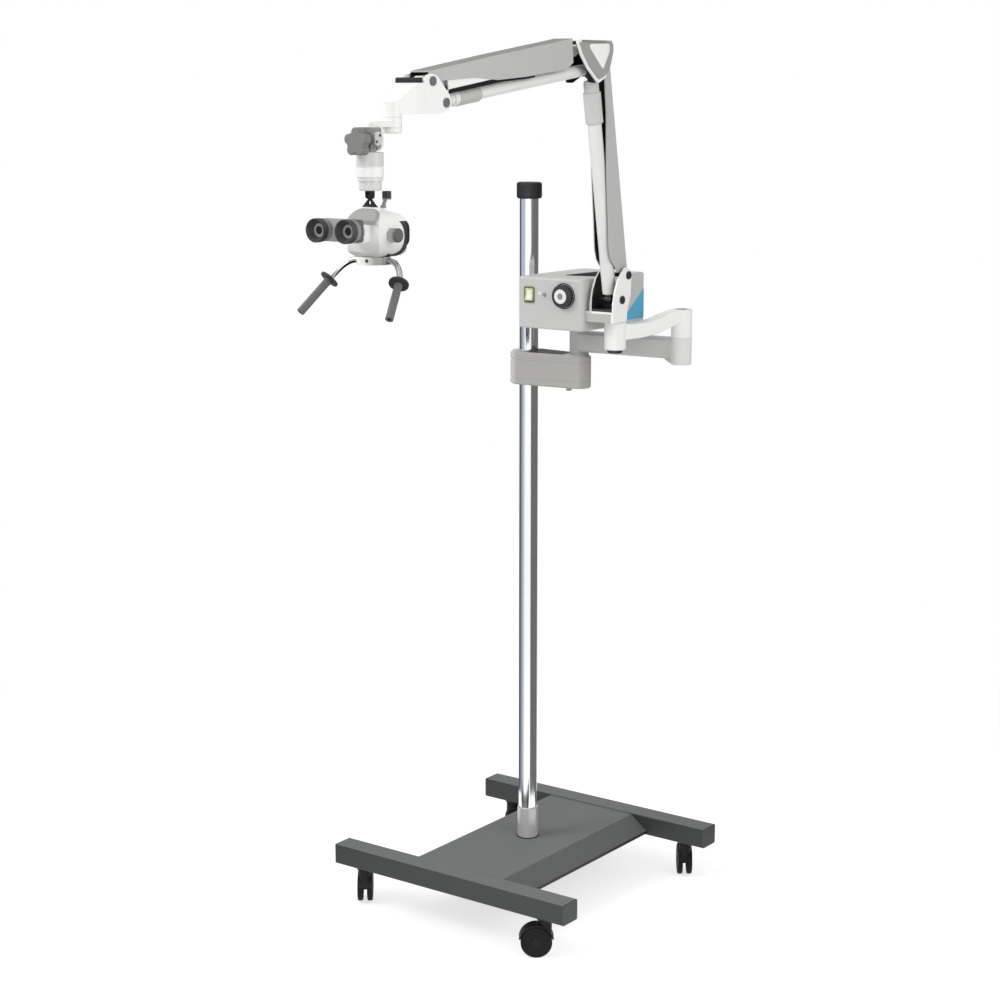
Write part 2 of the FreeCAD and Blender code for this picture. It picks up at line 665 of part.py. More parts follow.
fins = [box(150 + 12 * i, 154 + 12 * i, -126, -34, BOX_Z0 + 40, BOX_Z0 + 52) for i in range(8)]
keep("power_supply", fuse(supply, *fins))

bezel = box(ROCKER_X - frame_w, ROCKER_X + frame_w, BOX_Y0 - 2, BOX_Y0, ROCKER_Z - frame_h, ROCKER_Z + frame_h)
bezel = soften(bezel, 3.0, is_along("y"))
sleeve = box(ROCKER_X - frame_w + 1.5, ROCKER_X + frame_w - 1.5, BOX_Y0, BOX_Y0 + 14,
             ROCKER_Z - frame_h + 1.5, ROCKER_Z + frame_h - 1.5)
well = box(ROCKER_X - ROCKER_HALF_W - 0.3, ROCKER_X + ROCKER_HALF_W + 0.3, BOX_Y0 - 5, BOX_Y0 + 12,
           ROCKER_Z - ROCKER_HALF_H - 0.6, ROCKER_Z + ROCKER_HALF_H + 0.6)
rocker_at = (BOX_Y0 + 3.0, ROCKER_Z)
trunnion = disc(rocker_at, ROCKER_PIVOT_R, "x", ROCKER_X - ROCKER_HALF_W - 1.3, ROCKER_X + ROCKER_HALF_W + 1.3)
socket = disc(rocker_at, ROCKER_PIVOT_R + RUN_GAP, "x", ROCKER_X - ROCKER_HALF_W - 1.4,
              ROCKER_X + ROCKER_HALF_W + 1.4)
keep("rocker_bezel", cut(fuse(bezel, sleeve), well, socket))
half_w = ROCKER_HALF_W
half_h = ROCKER_HALF_H
paddle = prism([(BOX_Y0 - 1.2, ROCKER_Z), (BOX_Y0 - 3.0, ROCKER_Z + half_h - 0.8),
                (BOX_Y0 + 4.0, ROCKER_Z + half_h - 1.4), (BOX_Y0 + 6.5, ROCKER_Z),
                (BOX_Y0 + 4.0, ROCKER_Z - half_h + 1.4), (BOX_Y0 - 3.0, ROCKER_Z - half_h + 0.8)], "x",
               ROCKER_X - half_w, ROCKER_X + half_w)
rocker = fuse(paddle, trunnion)
rocker = turned(rocker, (ROCKER_X, rocker_at[0], rocker_at[1]), (1, 0, 0), -ROCKER_TILT)
keep("power_rocker", rocker)

knob = disc((KNOB_X, KNOB_Z), KNOB_R, "y", BOX_Y0 - KNOB_LEN, BOX_Y0 - FACE_GAP)
knob = bevel(knob, 3.5, at_level("y", BOX_Y0 - KNOB_LEN))
for i in range(18):
    angle = math.radians(20 * i)
    notch = (KNOB_X + KNOB_R * math.cos(angle), KNOB_Z + KNOB_R * math.sin(angle))
    knob = knob.cut(disc(notch, 1.1, "y", BOX_Y0 - KNOB_LEN + 3.5, BOX_Y0))
knob = knob.cut(disc((KNOB_X, KNOB_Z), KNOB_FACE_R, "y", BOX_Y0 - KNOB_LEN - 1, BOX_Y0 - KNOB_LEN + 2.5))
shaft = disc((KNOB_X, KNOB_Z), KNOB_SHAFT_R, "y", BOX_Y0 - KNOB_LEN + 3, BOX_Y0 + 14)
knob = fuse(knob, shaft)
face = disc((KNOB_X, KNOB_Z), KNOB_FACE_R, "y", BOX_Y0 - KNOB_LEN - 0.5, BOX_Y0 - KNOB_LEN + 2.5)
face = face.cut(disc((KNOB_X, KNOB_Z), KNOB_DOT_R, "y", BOX_Y0 - KNOB_LEN - 1, BOX_Y0 - KNOB_LEN + 0.5))
keep("dimmer_knob", knob, face)
button = disc((BUTTON_X, BUTTON_Z), BUTTON_R, "y", BOX_Y0 - BUTTON_OUT, BOX_Y0 + 5)
button = fuse(button, disc((BUTTON_X, BUTTON_Z), BUTTON_R + 1.2, "y", BOX_Y0 + skin + 0.1, BOX_Y0 + 5))
keep("select_button", button)
inlet = box(INLET_X - INLET_HALF_W, INLET_X + INLET_HALF_W, BOX_Y1, BOX_Y1 + 2.5,
            INLET_Z - INLET_HALF_H, INLET_Z + INLET_HALF_H)
inlet = soften(inlet, 4.0, is_along("y"))
inlet = fuse(inlet, box(INLET_X - INLET_HALF_W + 2, INLET_X + INLET_HALF_W - 2, BOX_Y1 - 24, BOX_Y1,
                        INLET_Z - INLET_HALF_H + 2, INLET_Z + INLET_HALF_H - 2))
inlet = inlet.cut(box(INLET_X - INLET_HOLE_W, INLET_X + INLET_HOLE_W, BOX_Y1 - 18, BOX_Y1 + 5,
                      INLET_Z - INLET_HOLE_H, INLET_Z + INLET_HOLE_H))
blades = []
for dx, dz in ((-7.0, -1.5), (0.0, 2.0), (7.0, -1.5)):
    blades.append(box(INLET_X + dx - 1, INLET_X + dx + 1, BOX_Y1 - 19, BOX_Y1 - 4,
                      INLET_Z + dz - 2, INLET_Z + dz + 2))
keep("power_inlet", fuse(inlet, *blades))

# Lower parallel link
lower_u = unit(LOWER_REACH)
lower_n = (-lower_u[1], lower_u[0])
lower_len = math.hypot(*LOWER_REACH)


def low_point(s, d):
    return placed(B2, lower_u, lower_n, [(s, d)])[0]


profile = [(8, -4.5), (lower_len - 8, -4.5), (lower_len - 2, 12), (400, 15), (318, 21), (206, 38),
           (110, 46), (60, 51), (40, 48), (12, 30), (2, 12)]
profile = [(s, d - CHANNEL_SHIFT) for s, d in profile]
wall = prism(placed(B2, lower_u, lower_n, profile), "x", X - CHANNEL_OUT, X + CHANNEL_OUT)
inner_d = profile[0][1] + CHANNEL_WALL
inner_profile = [(-30, inner_d), (lower_len + 30, inner_d), (lower_len + 30, 90), (-30, 90)]
core = prism(placed(B2, lower_u, lower_n, inner_profile), "x", X - CHANNEL_OUT + CHANNEL_WALL,
             X + CHANNEL_OUT - CHANNEL_WALL)
channel = wall.cut(core)
for pin in (B2, L2):
    for side in (-1, 1):
        ends = sorted((side * (CHANNEL_OUT - CHANNEL_EAR), side * (PLATE_IN - 2 * FACE_GAP)))
        channel = fuse(channel, disc(pin, EYE_R, "x", X + ends[0], X + ends[1]))
    channel = channel.cut(disc(pin, PIN_R + PIN_GAP, "x", X - 40, X + 40))
keep("lower_link_channel", channel)


def point3(pair):
    return (X, pair[0], pair[1])


def along(origin, way, s):
    return (X, origin[0] + s * way[0], origin[1] + s * way[1])


def rod_eye(pin, way, sign, bore, stem_r, gap):
    eye = disc(pin, EYE_R, "x", X - ROD_EYE_HALF, X + ROD_EYE_HALF)
    neck = cyl(6.5, along(pin, way, 0), along(pin, way, sign * ROD_START))
    stem = cyl(stem_r, along(pin, way, sign * ROD_START), along(pin, way, sign * (ROD_START + EYE_STEM)))
    body = fuse(eye, neck, stem)
    return body.cut(disc(pin, bore + gap, "x", X - 40, X + 40))


low_end = lower_len - ROD_START
tube = ring(LOWER_TUBE_R, LOWER_TUBE_BORE, along(B1, lower_u, ROD_START), along(B1, lower_u, low_end))
tube = bevel(tube, 2.0, lambda e: isinstance(e.Curve, Part.Circle) and e.Curve.Radius > LOWER_TUBE_BORE + 1)
sleeve = ring(LOWER_SLEEVE_R, LOWER_TUBE_R, along(B1, lower_u, LOWER_SLEEVE_S0), along(B1, lower_u, LOWER_SLEEVE_S1))
sleeve = bevel(sleeve, 1.5, lambda e: isinstance(e.Curve, Part.Circle) and e.Curve.Radius > LOWER_TUBE_R + 1)
collar = ring(LOWER_COLLAR_R, LOWER_TUBE_R, along(B1, lower_u, LOWER_SLEEVE_S1), along(B1, lower_u, 420.0))
keep("lower_sleeve", fuse(sleeve, collar))
keep("lower_guide_rod", tube,
     rod_eye(B1, lower_u, 1, PIN_R, LOWER_TUBE_BORE, PIN_GAP),
     rod_eye(L1, lower_u, -1, PIN_R, LOWER_TUBE_BORE, OPEN_PIVOT_GAP))

# Knuckle: core plates, white rims and grey faces over four hidden pins
knuckle_line = [(-335.0, 1829.0), (-331.0, 1835.0), (-221.0, 1835.0), (-214.0, 1829.0), (-213.0, 1816.0),
                (-222.0, 1790.0), (-236.0, 1768.0), (-262.0, 1757.0), (-272.0, 1761.0), (-300.0, 1783.0),
                (-322.0, 1807.0)]
core_line = [(-331.0, 1829.0), (-328.0, 1833.0), (-222.0, 1833.0), (-216.0, 1828.0), (-215.0, 1816.0),
             (-224.0, 1790.0), (-237.0, 1770.0), (-262.0, 1760.0), (-271.0, 1757.0), (-284.0, 1757.5),
             (-288.0, 1765.0), (-299.0, 1786.0), (-319.0, 1808.0)]
face_line = [(-327.5, 1827.5), (-325.5, 1830.5), (-224.0, 1830.5), (-219.0, 1826.0), (-218.5, 1816.0),
             (-227.0, 1791.5), (-241.0, 1770.5), (-261.0, 1763.5), (-269.5, 1766.5), (-296.0, 1787.0),
             (-316.0, 1809.0)]
core = prism(core_line, "x", X + PLATE_IN, X + PLATE_OUT)
roof = box(X - PLATE_IN, X + PLATE_IN, -286.0, -232.0, 1829.5, 1833.0)
plates = [core, mirror_x(core, X)]
knuckle = fuse(plates[0], plates[1], roof)
for pin in (K1, K2, L1, L2):
    knuckle = knuckle.cut(disc(pin, PIN_R, "x", X - 40, X + 40))
pins = [disc(p, PIN_R, "x", X - PLATE_OUT, X + PLATE_OUT) for p in (K1, K2, L1, L2)]
keep("knuckle_core", knuckle, *pins)
rim = prism(knuckle_line, "x", X + PLATE_OUT, X + TRIM_OUT)
rim = soften(rim, 4.0, lambda e: is_along("x")(e) and e.Vertexes[0].Point[2] > 1820)
face = prism(face_line, "x", X + TRIM_OUT, X + COVER_OUT)
keep("knuckle_rims", rim, mirror_x(rim, X))
keep("knuckle_faces", face, mirror_x(face, X))

# Upper parallel link
upper_u = unit(UPPER_REACH)
upper_n = (upper_u[1], -upper_u[0])
upper_len = math.hypot(*UPPER_REACH)
bar_line = placed(K1, upper_u, upper_n, [(9, UPPER_BAR_UP), (upper_len - 9, UPPER_BAR_UP),
                                         (upper_len - 9, -UPPER_BAR_DOWN), (9, -UPPER_BAR_DOWN)])
bar = prism(bar_line, "x", X - UPPER_BAR_HALF, X + UPPER_BAR_HALF)
for pin in (K1, F1):
    bar = fuse(bar, disc(pin, EYE_R + 1, "x", X - UPPER_BAR_HALF, X + UPPER_BAR_HALF))
for pin in (K1, F1):
    bar = bar.cut(disc(pin, PIN_R + PIN_GAP, "x", X - 40, X + 40))
keep("upper_link_bar", bar)
cover_line = [(36, 24), (60, 23.5), (270, 21), (upper_len - 4, 17), (upper_len + 3, 12), (upper_len + 3, -1),
              (upper_len - 24, -3), (340, -10), (275, -22), (190, -27), (60, -29.5), (38, -20)]
cover = prism(placed(K1, upper_u, upper_n, cover_line), "x", X - UPPER_COVER_OUT, X + UPPER_COVER_OUT)
inside_line = [(-30, 22.0), (60, 21.5), (270, 19), (upper_len - 4, 15), (upper_len + 40, 9), (upper_len + 40, -90),
               (-30, -90)]
inside = prism(placed(K1, upper_u, upper_n, inside_line), "x", X - UPPER_COVER_OUT + CHANNEL_WALL,
               X + UPPER_COVER_OUT - CHANNEL_WALL)
cover = cover.cut(inside)
for s0, high in ((70, 22.4), (250, 20.2), (400, 17.4)):
    rib_line = placed(K1, upper_u, upper_n, [(s0, UPPER_BAR_UP), (s0, high), (s0 + 8, high), (s0 + 8, UPPER_BAR_UP)])
    rib = prism(rib_line, "x", X - UPPER_COVER_OUT + CHANNEL_WALL, X + UPPER_COVER_OUT - CHANNEL_WALL)
    cover = fuse(cover, rib)
cover = cover.cut(disc(F1, PIN_R + PIN_GAP, "x", X - 40, X + 40))
keep("upper_link_cover", cover)
up_end = upper_len - ROD_START
tube = ring(UPPER_TUBE_R, UPPER_TUBE_BORE, along(K2, upper_u, ROD_START + 2), along(K2, upper_u, up_end))
rod_tube = tube
sleeve = ring(UPPER_SLEEVE_R, UPPER_TUBE_R, along(K2, upper_u, UPPER_SLEEVE_S0), along(K2, upper_u, UPPER_SLEEVE_S1))
sleeve = bevel(sleeve, 1.2, lambda e: isinstance(e.Curve, Part.Circle) and e.Curve.Radius > UPPER_TUBE_R + 1)
front_ring = ring(UPPER_RING_R, UPPER_TUBE_R, along(K2, upper_u, UPPER_SLEEVE_S1),
                  along(K2, upper_u, UPPER_RING_S1))
keep("upper_guide_rod", rod_tube, front_ring, sleeve,
     rod_eye(K2, upper_u, 1, PIN_R, UPPER_TUBE_BORE, PIN_GAP),
     rod_eye(F2, upper_u, -1, PIN_R, UPPER_TUBE_BORE, OPEN_PIVOT_GAP))

# Front carriage
plate_line = [(-783.0, 1764.0), (-773.0, 1769.0), (-762.0, 1771.5), (-750.0, 1769.0), (-740.0, 1762.0),
              (-712.0, 1735.0), (-708.0, 1724.0), (-711.0, 1713.0), (-724.0, 1709.5), (-742.0, 1705.0),
              (-783.0, 1705.0)]
plate = prism(plate_line, "x", X + CARRIAGE_IN, X + CARRIAGE_OUT)
plate = soften(plate, 4.0, lambda e: is_along("x")(e) and e.Vertexes[0].Point[1] > -765)
nose_line = [(-779.0, 1705.0), (-779.0, 1756.0), (-801.0, 1756.0), (-818.0, 1742.0), (-838.0, 1727.0),
             (-850.0, 1722.0), (-850.0, 1705.0)]
nose = prism(nose_line, "x", X - CARRIAGE_OUT, X + CARRIAGE_OUT)
taper = prism([(X - 26, -779), (X + 26, -779), (X + 25, -802), (X + 16.5, -837), (X + 9, -853),
               (X - 9, -853), (X - 16.5, -837), (X - 25, -802)], "z", 1700, 1760)
nose = nose.common(taper)
HUB = (X, CARRIAGE_HUB_Y)
hub = disc(HUB, CARRIAGE_HUB_R, "z", CARRIAGE_HUB_BOTTOM, CARRIAGE_HUB_TOP)
stem = disc(HUB, SWING_SPIGOT_R, "z", SWING_BOTTOM - FACE_GAP, CARRIAGE_HUB_BOTTOM + 2)
carriage = fuse(nose, plate, mirror_x(plate, X), hub, stem)
for pin in (F1, F2):
    carriage = carriage.cut(disc(pin, PIN_R, "x", X - 40, X + 40))
boot = box(X - 22, X + 22, -800.5, -780.0, 1756.0, 1765.0)
boot = bevel(boot, 1.5, at_level("z", 1765.0))
keep("carriage_pins", pivot(F1, CARRIAGE_OUT), pivot(F2, CARRIAGE_OUT), boot)
nut = disc(HUB, CARRIAGE_HUB_R, "z", SWING_CAP_BOTTOM, SWING_BOTTOM - FACE_GAP)
nut = bevel(nut, 2.0, at_level("z", SWING_CAP_BOTTOM))
keep("front_carriage", carriage, nut)

# Swing link from the carriage hub to the hanging joint
hub = disc(HUB, CARRIAGE_HUB_R, "z", SWING_BOTTOM, CARRIAGE_HUB_BOTTOM - FACE_GAP)
web = strap(HUB, 12.0, (X, LUG_FRONT + 10), 9.0, "z", SWING_ARM_Z0, SWING_ARM_Z1)
web = web.cut(box(X - 40, X + 40, -960, LUG_FRONT, 1600, 1800))
lug = strap((X, TILT_Z), 15.0, (X, SWING_ARM_Z1 - 9.0), 12.0, "y", LUG_FRONT, LUG_BACK)
lug = lug.cut(box(X - 40, X + 40, -960, -800, SWING_ARM_Z1, 1800))
swing = fuse(hub, web, lug)
swing = swing.cut(disc(HUB, SWING_SPIGOT_R + RUN_GAP, "z", 1600, 1800))
swing = swing.cut(disc((X, TILT_Z), TILT_BOLT_R + RUN_GAP, "y", -960, -800))
keep("swing_link", swing)

# Hanging joint: tilt block, star knob, barrel and rotor
block = box(X - TILT_HALF, X + TILT_HALF, TILT_FRONT, LUG_FRONT - FACE_GAP, 1651.0, TILT_TOP)
block = soften(block, 4.0, is_along("y"))
boss = disc((-903.0, 1666.0), 11.5, "x", X + 8, X + 24)
boss = boss.common(box(X, X + 60, TILT_FRONT, LUG_FRONT - FACE_GAP, 1600, 1700))
barrel = disc((X, HANG_Y), BARREL_R, "z", BARREL_BOTTOM, BARREL_TOP)
barrel = soften(barrel, 1.5, at_level("z", BARREL_TOP))
neck = disc((X, -898.0), 12.0, "z", BARREL_TOP - 1, 1653.0)
block = fuse(block, boss, neck)
block = block.cut(box(X - 60, X + 60, -960, -850, 1500, BARREL_TOP))
block = block.cut(disc((X, TILT_Z), TILT_BOLT_R + RUN_GAP, "y", -960, -800))
barrel = barrel.cut(disc((X, HANG_Y), SPINDLE_R + RUN_GAP, "z", BARREL_BOTTOM, SPINDLE_TOP + 1))
for z in (1618.0,):
    barrel = barrel.cut(ring(BARREL_R + 5, BARREL_R - 0.6, (X, HANG_Y, z), (X, HANG_Y, z + 1.2)))
keep("hanging_barrel", block, barrel)
lobes = []
for i in range(STAR_LOBES):
    angle = math.radians(90 + 360.0 / STAR_LOBES * i)
    centre = (X + 15.5 * math.cos(angle), TILT_Z - 1 + 15.5 * math.sin(angle))
    lobes.append(disc(centre, STAR_R - 15.5, "y", TILT_FRONT - STAR_SET - STAR_LEN, TILT_FRONT - STAR_SET))
middle = disc((X, TILT_Z - 1), 18.0, "y", TILT_FRONT - STAR_SET - STAR_LEN, TILT_FRONT - STAR_SET)
star = fuse(middle, *lobes)
star = bevel(star, 1.5, at_level("y", TILT_FRONT - STAR_SET - STAR_LEN))
star = moved(star, (0, 0, 1))
bolt = disc((X, TILT_Z), TILT_BOLT_R, "y", TILT_FRONT - STAR_SET - 1, LUG_BACK - 1)
shoulder = disc((X, TILT_Z), 8.0, "y", TILT_FRONT - STAR_SET - 1, TILT_FRONT - FACE_GAP)
keep("tilt_star_knob", fuse(star, bolt, shoulder))

spindle = disc((X, HANG_Y), SPINDLE_R, "z", ROTOR_BOTTOM + 2, SPINDLE_TOP)
flange = disc((X, HANG_Y), ROTOR_R, "z", ROTOR_SKIRT_TOP, BARREL_BOTTOM - FACE_GAP)
skirt = disc((X, HANG_Y), ROTOR_SKIRT_R, "z", ROTOR_BOTTOM, ROTOR_SKIRT_TOP)
skirt = bevel(skirt, 1.5, at_level("z", ROTOR_BOTTOM))
keep("barrel_rotor", fuse(skirt, flange, spindle))
bridge_low = PITCH_Z + YOKE_EAR_R
ears = []
for side in (-1, 1):
    ends = sorted((side * YOKE_EAR_IN, side * YOKE_EAR_OUT))
    ears.append(disc((PITCH_Y, PITCH_Z), YOKE_EAR_R, "x", X + ends[0], X + ends[1]))
    ears.append(box(X + ends[0], X + ends[1], PITCH_Y - YOKE_EAR_R, PITCH_Y + YOKE_EAR_R, PITCH_Z, bridge_low + 1))
bridge = box(X - YOKE_EAR_OUT, X + YOKE_EAR_OUT, PITCH_Y - YOKE_EAR_R, PITCH_Y + YOKE_EAR_R, bridge_low, ROTOR_BOTTOM)
yoke = fuse(bridge, *ears)
yoke = yoke.cut(disc((PITCH_Y, PITCH_Z), PITCH_PIN_R, "x", X - 40, X + 40))
keep("yoke", yoke, disc((PITCH_Y, PITCH_Z), PITCH_PIN_R, "x", X - YOKE_EAR_OUT - 0.8, X + YOKE_EAR_OUT + 0.8))
lug_half = YOKE_EAR_IN - FACE_GAP
lug_low = PITCH_Z - YOKE_EAR_R - 0.6
foot_z = HEAD_PAD_TOP + 2.5
frame_line = [(X - lug_half, PITCH_Z), (X - lug_half, lug_low), (X - 12.5, foot_z), (X - 12.5, HEAD_PAD_TOP),
              (X + 12.5, HEAD_PAD_TOP), (X + 12.5, foot_z), (X + lug_half, lug_low), (X + lug_half, PITCH_Z)]
frame = prism(frame_line, "y", PITCH_Y - 2.2, PITCH_Y + 2.2)
lug = disc((PITCH_Y, PITCH_Z), YOKE_EAR_R - 0.8, "x", X - lug_half, X + lug_half)
foot = box(X - 12.5, X + 12.5, PITCH_Y - 4.5, PITCH_Y + 4.5, HEAD_PAD_TOP, foot_z)
tab = fuse(frame, lug, foot)
tab = tab.cut(disc((X, (lug_low + foot_z) / 2 - 0.6), 3.4, "y", PITCH_Y - 10, PITCH_Y + 10))
tab = tab.cut(disc((PITCH_Y, PITCH_Z), PITCH_PIN_R + PIN_GAP, "x", X - 40, X + 40))
keep("head_bracket", tab)

# Head body with its side disc, rear cap, lens ring and top cover
head_line = [(HEAD_FRONT, 1480.0), (HEAD_FRONT, 1531.0), (HEAD_FRONT + 18, HEAD_TOP), (-872.0, HEAD_TOP - 2),
             (-852.0, HEAD_TOP - 9), (HEAD_REAR, HEAD_TOP - 17), (HEAD_REAR, 1479.0), (HEAD_REAR - 7, HEAD_BOTTOM),
             (HEAD_FRONT + 8, HEAD_BOTTOM)]
drum = box(X - HEAD_HALF, X + HEAD_HALF, HEAD_FRONT, HEAD_REAR, HEAD_BOTTOM, HEAD_TOP)
drum = soften(drum, HEAD_ROUND_TOP, lambda e: is_along("y")(e) and e.Vertexes[0].Point[2] > HEAD_TOP - 1)
drum = soften(drum, HEAD_ROUND_LOW, lambda e: is_along("y")(e) and e.Vertexes[0].Point[2] < HEAD_BOTTOM + 1)
body = prism(head_line, "x", X - HEAD_HALF, X + HEAD_HALF).common(drum)
nose = box(X - NOSE_HALF, X + NOSE_HALF, NOSE_FRONT, HEAD_FRONT + 1, 1496.0, 1526.8)
nose = bevel(nose, 3.0, lambda e: is_along("y")(e) and e.Vertexes[0].Point[2] < 1500)
pad = box(X - 14.5, X + 14.5, PITCH_Y - 5.5, PITCH_Y + 9.5, HEAD_TOP - 8, HEAD_PAD_TOP)
DISC = (SIDE_DISC_Y, SIDE_DISC_Z)
cheek = disc(DISC, SIDE_DISC_R, "x", X, SIDE_DISC_OUT)
cheek = bevel(cheek, 1.0, at_level("x", SIDE_DISC_OUT))
body = fuse(body, nose, pad, cheek)
body = body.cut(disc(DISC, MAG_SHAFT_R + RUN_GAP, "x", SIDE_DISC_OUT - 22, SIDE_DISC_OUT + 5))
body = body.cut(disc((X, LENS_Y), LENS_R, "z", HEAD_BOTTOM - 2, HEAD_BOTTOM + 6))
mag = disc(DISC, MAG_KNOB_R, "x", SIDE_DISC_OUT + FACE_GAP, SIDE_DISC_OUT + MAG_KNOB_LEN)
mag = bevel(mag, 1.5, at_level("x", SIDE_DISC_OUT + MAG_KNOB_LEN))
for i in range(16):
    angle = math.radians(22.5 * i)
    notch = (DISC[0] + MAG_KNOB_R * math.cos(angle), DISC[1] + MAG_KNOB_R * math.sin(angle))
    mag = mag.cut(disc(notch, 0.8, "x", SIDE_DISC_OUT, SIDE_DISC_OUT + MAG_KNOB_LEN - 2))
mag = fuse(mag, disc(DISC, MAG_SHAFT_R, "x", SIDE_DISC_OUT - 21, SIDE_DISC_OUT + 2))
keep("magnification_knob", mag)
rear = disc((X, REAR_CAP_Z), REAR_CAP_R, "y", HEAD_REAR, HEAD_REAR + REAR_CAP_THICK)
rear = bevel(rear, 2.5, at_level("y", HEAD_REAR + REAR_CAP_THICK))
keep("lamp_unit", rear)
slope_y = HEAD_FRONT + 13
wedge_line = [(HEAD_FRONT, 1531.0), (HEAD_FRONT - 5, 1527.0), (HEAD_FRONT - 6.5, 1533.0), (HEAD_FRONT + 9, 1550.0),
              (slope_y, 1551.5), (slope_y, 1544.0)]
wedge = prism(wedge_line, "x", X - 29, X + 29)
crown = box(X - 29, X + 29, HEAD_FRONT - 20, HEAD_FRONT + 20, 1500, 1551.5)
crown = soften(crown, 18.0, lambda e: is_along("y")(e) and e.Vertexes[0].Point[2] > 1540)
keep("head_top_cover", wedge.common(crown))
lens_ring = disc((X, LENS_Y), LENS_RING_R, "z", LENS_RING_BOTTOM, HEAD_BOTTOM)
for side in (-1, 1):
    low = X + min(side * 20, side * 30)
    lens_ring = fuse(lens_ring, box(low, low + 10, LENS_Y - 9, LENS_Y + 9, LENS_RING_BOTTOM, HEAD_BOTTOM))
seat_top = LENS_RING_BOTTOM + LENS_SEAT_DEPTH
lens_ring = lens_ring.cut(disc((X, LENS_Y), LENS_SEAT_R, "z", LENS_RING_BOTTOM - 1, seat_top))
lens_ring = lens_ring.cut(disc((X, LENS_Y), LENS_R, "z", LENS_RING_BOTTOM, HEAD_BOTTOM + 1))
bore_from = LENS_SEAT_R + 1.5
lens_ring = lens_ring.cut(disc((HANDLE_Y, HANDLE_Z), HANDLE_R + RUN_GAP, "x", X - 60, X - bore_from))
lens_ring = lens_ring.cut(disc((HANDLE_Y, HANDLE_Z), HANDLE_R + RUN_GAP, "x", X + bore_from, X + 60))
keep("lens_ring", lens_ring)
glass = disc((X, LENS_Y), LENS_R, "z", seat_top + 2, HEAD_BOTTOM - 1)
keep("objective_lens", glass)

# Binocular tube: hub on the head, bridge, two sliding eyepieces
hub = disc((INCLINE_Y, INCLINE_Z), INCLINE_HUB_R, "x", X - NOSE_HALF, X + NOSE_HALF)
hub = hub.cut(box(X - 40, X + 40, NOSE_FRONT, -900, 1400, 1600))
ear_out = NOSE_HALF + 8
for side in (-1, 1):
    ends = sorted((side * NOSE_HALF, side * (ear_out + 1)))
    hub = fuse(hub, disc((INCLINE_Y, INCLINE_Z), INCLINE_PIN_R, "x", X + ends[0], X + ends[1]))
keep("incline_hub", hub)
bridge = box(X - 44, X + 44, BRIDGE_FRONT, BRIDGE_BACK, 1501.0, 1538.0)
bridge = soften(bridge, 6.0, is_along("y"))
for side in (-1, 1):
    ends = sorted((side * (NOSE_HALF + 2 * FACE_GAP), side * ear_out))
    ear = strap((INCLINE_Y, INCLINE_Z), 11.0, (BRIDGE_BACK - 2, INCLINE_Z), 13.0, "x", X + ends[0], X + ends[1])
    ear = ear.cut(box(X - 60, X + 60, -1010, BRIDGE_BACK - 3, 1400, 1600))
    bridge = fuse(bridge, ear)
bridge = bridge.cut(disc((INCLINE_Y, INCLINE_Z), INCLINE_PIN_R + RUN_GAP, "x", X - 60, X + 60))
slot_half = SLIDE_TONGUE + SLIDE_TRAVEL + 0.3
for side in (-1, 1):
    centre = X + side * EYE_X
    low = max(centre - slot_half, X - 40) if side < 0 else centre - slot_half
    high = centre + slot_half if side < 0 else min(centre + slot_half, X + 40)
    bridge = bridge.cut(box(centre - slot_half, centre + slot_half, BRIDGE_FRONT - 1, BRIDGE_FRONT + 7,
                            EYE_Z - 5 - RUN_GAP, EYE_Z + 5 + RUN_GAP))
keep("binocular_bridge", bridge)


def eyepiece(name, side):
    x = X + side * EYE_X
    centre = (x, EYE_Z)
    barrel = disc(centre, EYE_TUBE_R, "y", EYE_TUBE_FRONT, EYE_TUBE_BACK)
    tongue = box(x - SLIDE_TONGUE, x + SLIDE_TONGUE, EYE_TUBE_BACK - 1, BRIDGE_FRONT + 6, EYE_Z - 5, EYE_Z + 5)
    stem = disc(centre, EYE_RING_R, "y", EYE_CUP_FRONT + 3, EYE_TUBE_FRONT + 1)
    barrel = fuse(barrel, tongue, stem)
    barrel = barrel.cut(disc(centre, EYE_GLASS_R, "y", EYE_CUP_FRONT, EYE_TUBE_FRONT + 4))
    glass = disc(centre, EYE_GLASS_R, "y", EYE_CUP_FRONT + 5.5, EYE_CUP_FRONT + 8.5)
    keep("eyepiece_tube_" + name, barrel, glass)
    cup = disc(centre, EYE_CUP_R, "y", EYE_CUP_FRONT, EYE_TUBE_FRONT - FACE_GAP)
    cup = soften(cup, 3.0, at_level("y", EYE_CUP_FRONT))
    cup = cup.cut(disc(centre, EYE_RING_R + RUN_GAP, "y", EYE_CUP_FRONT - 1, EYE_TUBE_FRONT))
    keep("eyecup_" + name, cup)


eyepiece("left", -1)
eyepiece("right", 1)

# Handles: bent bar, round flange and long grip
grip_way = FreeCAD.Vector(*GRIP_DIR)
grip_way.normalize()


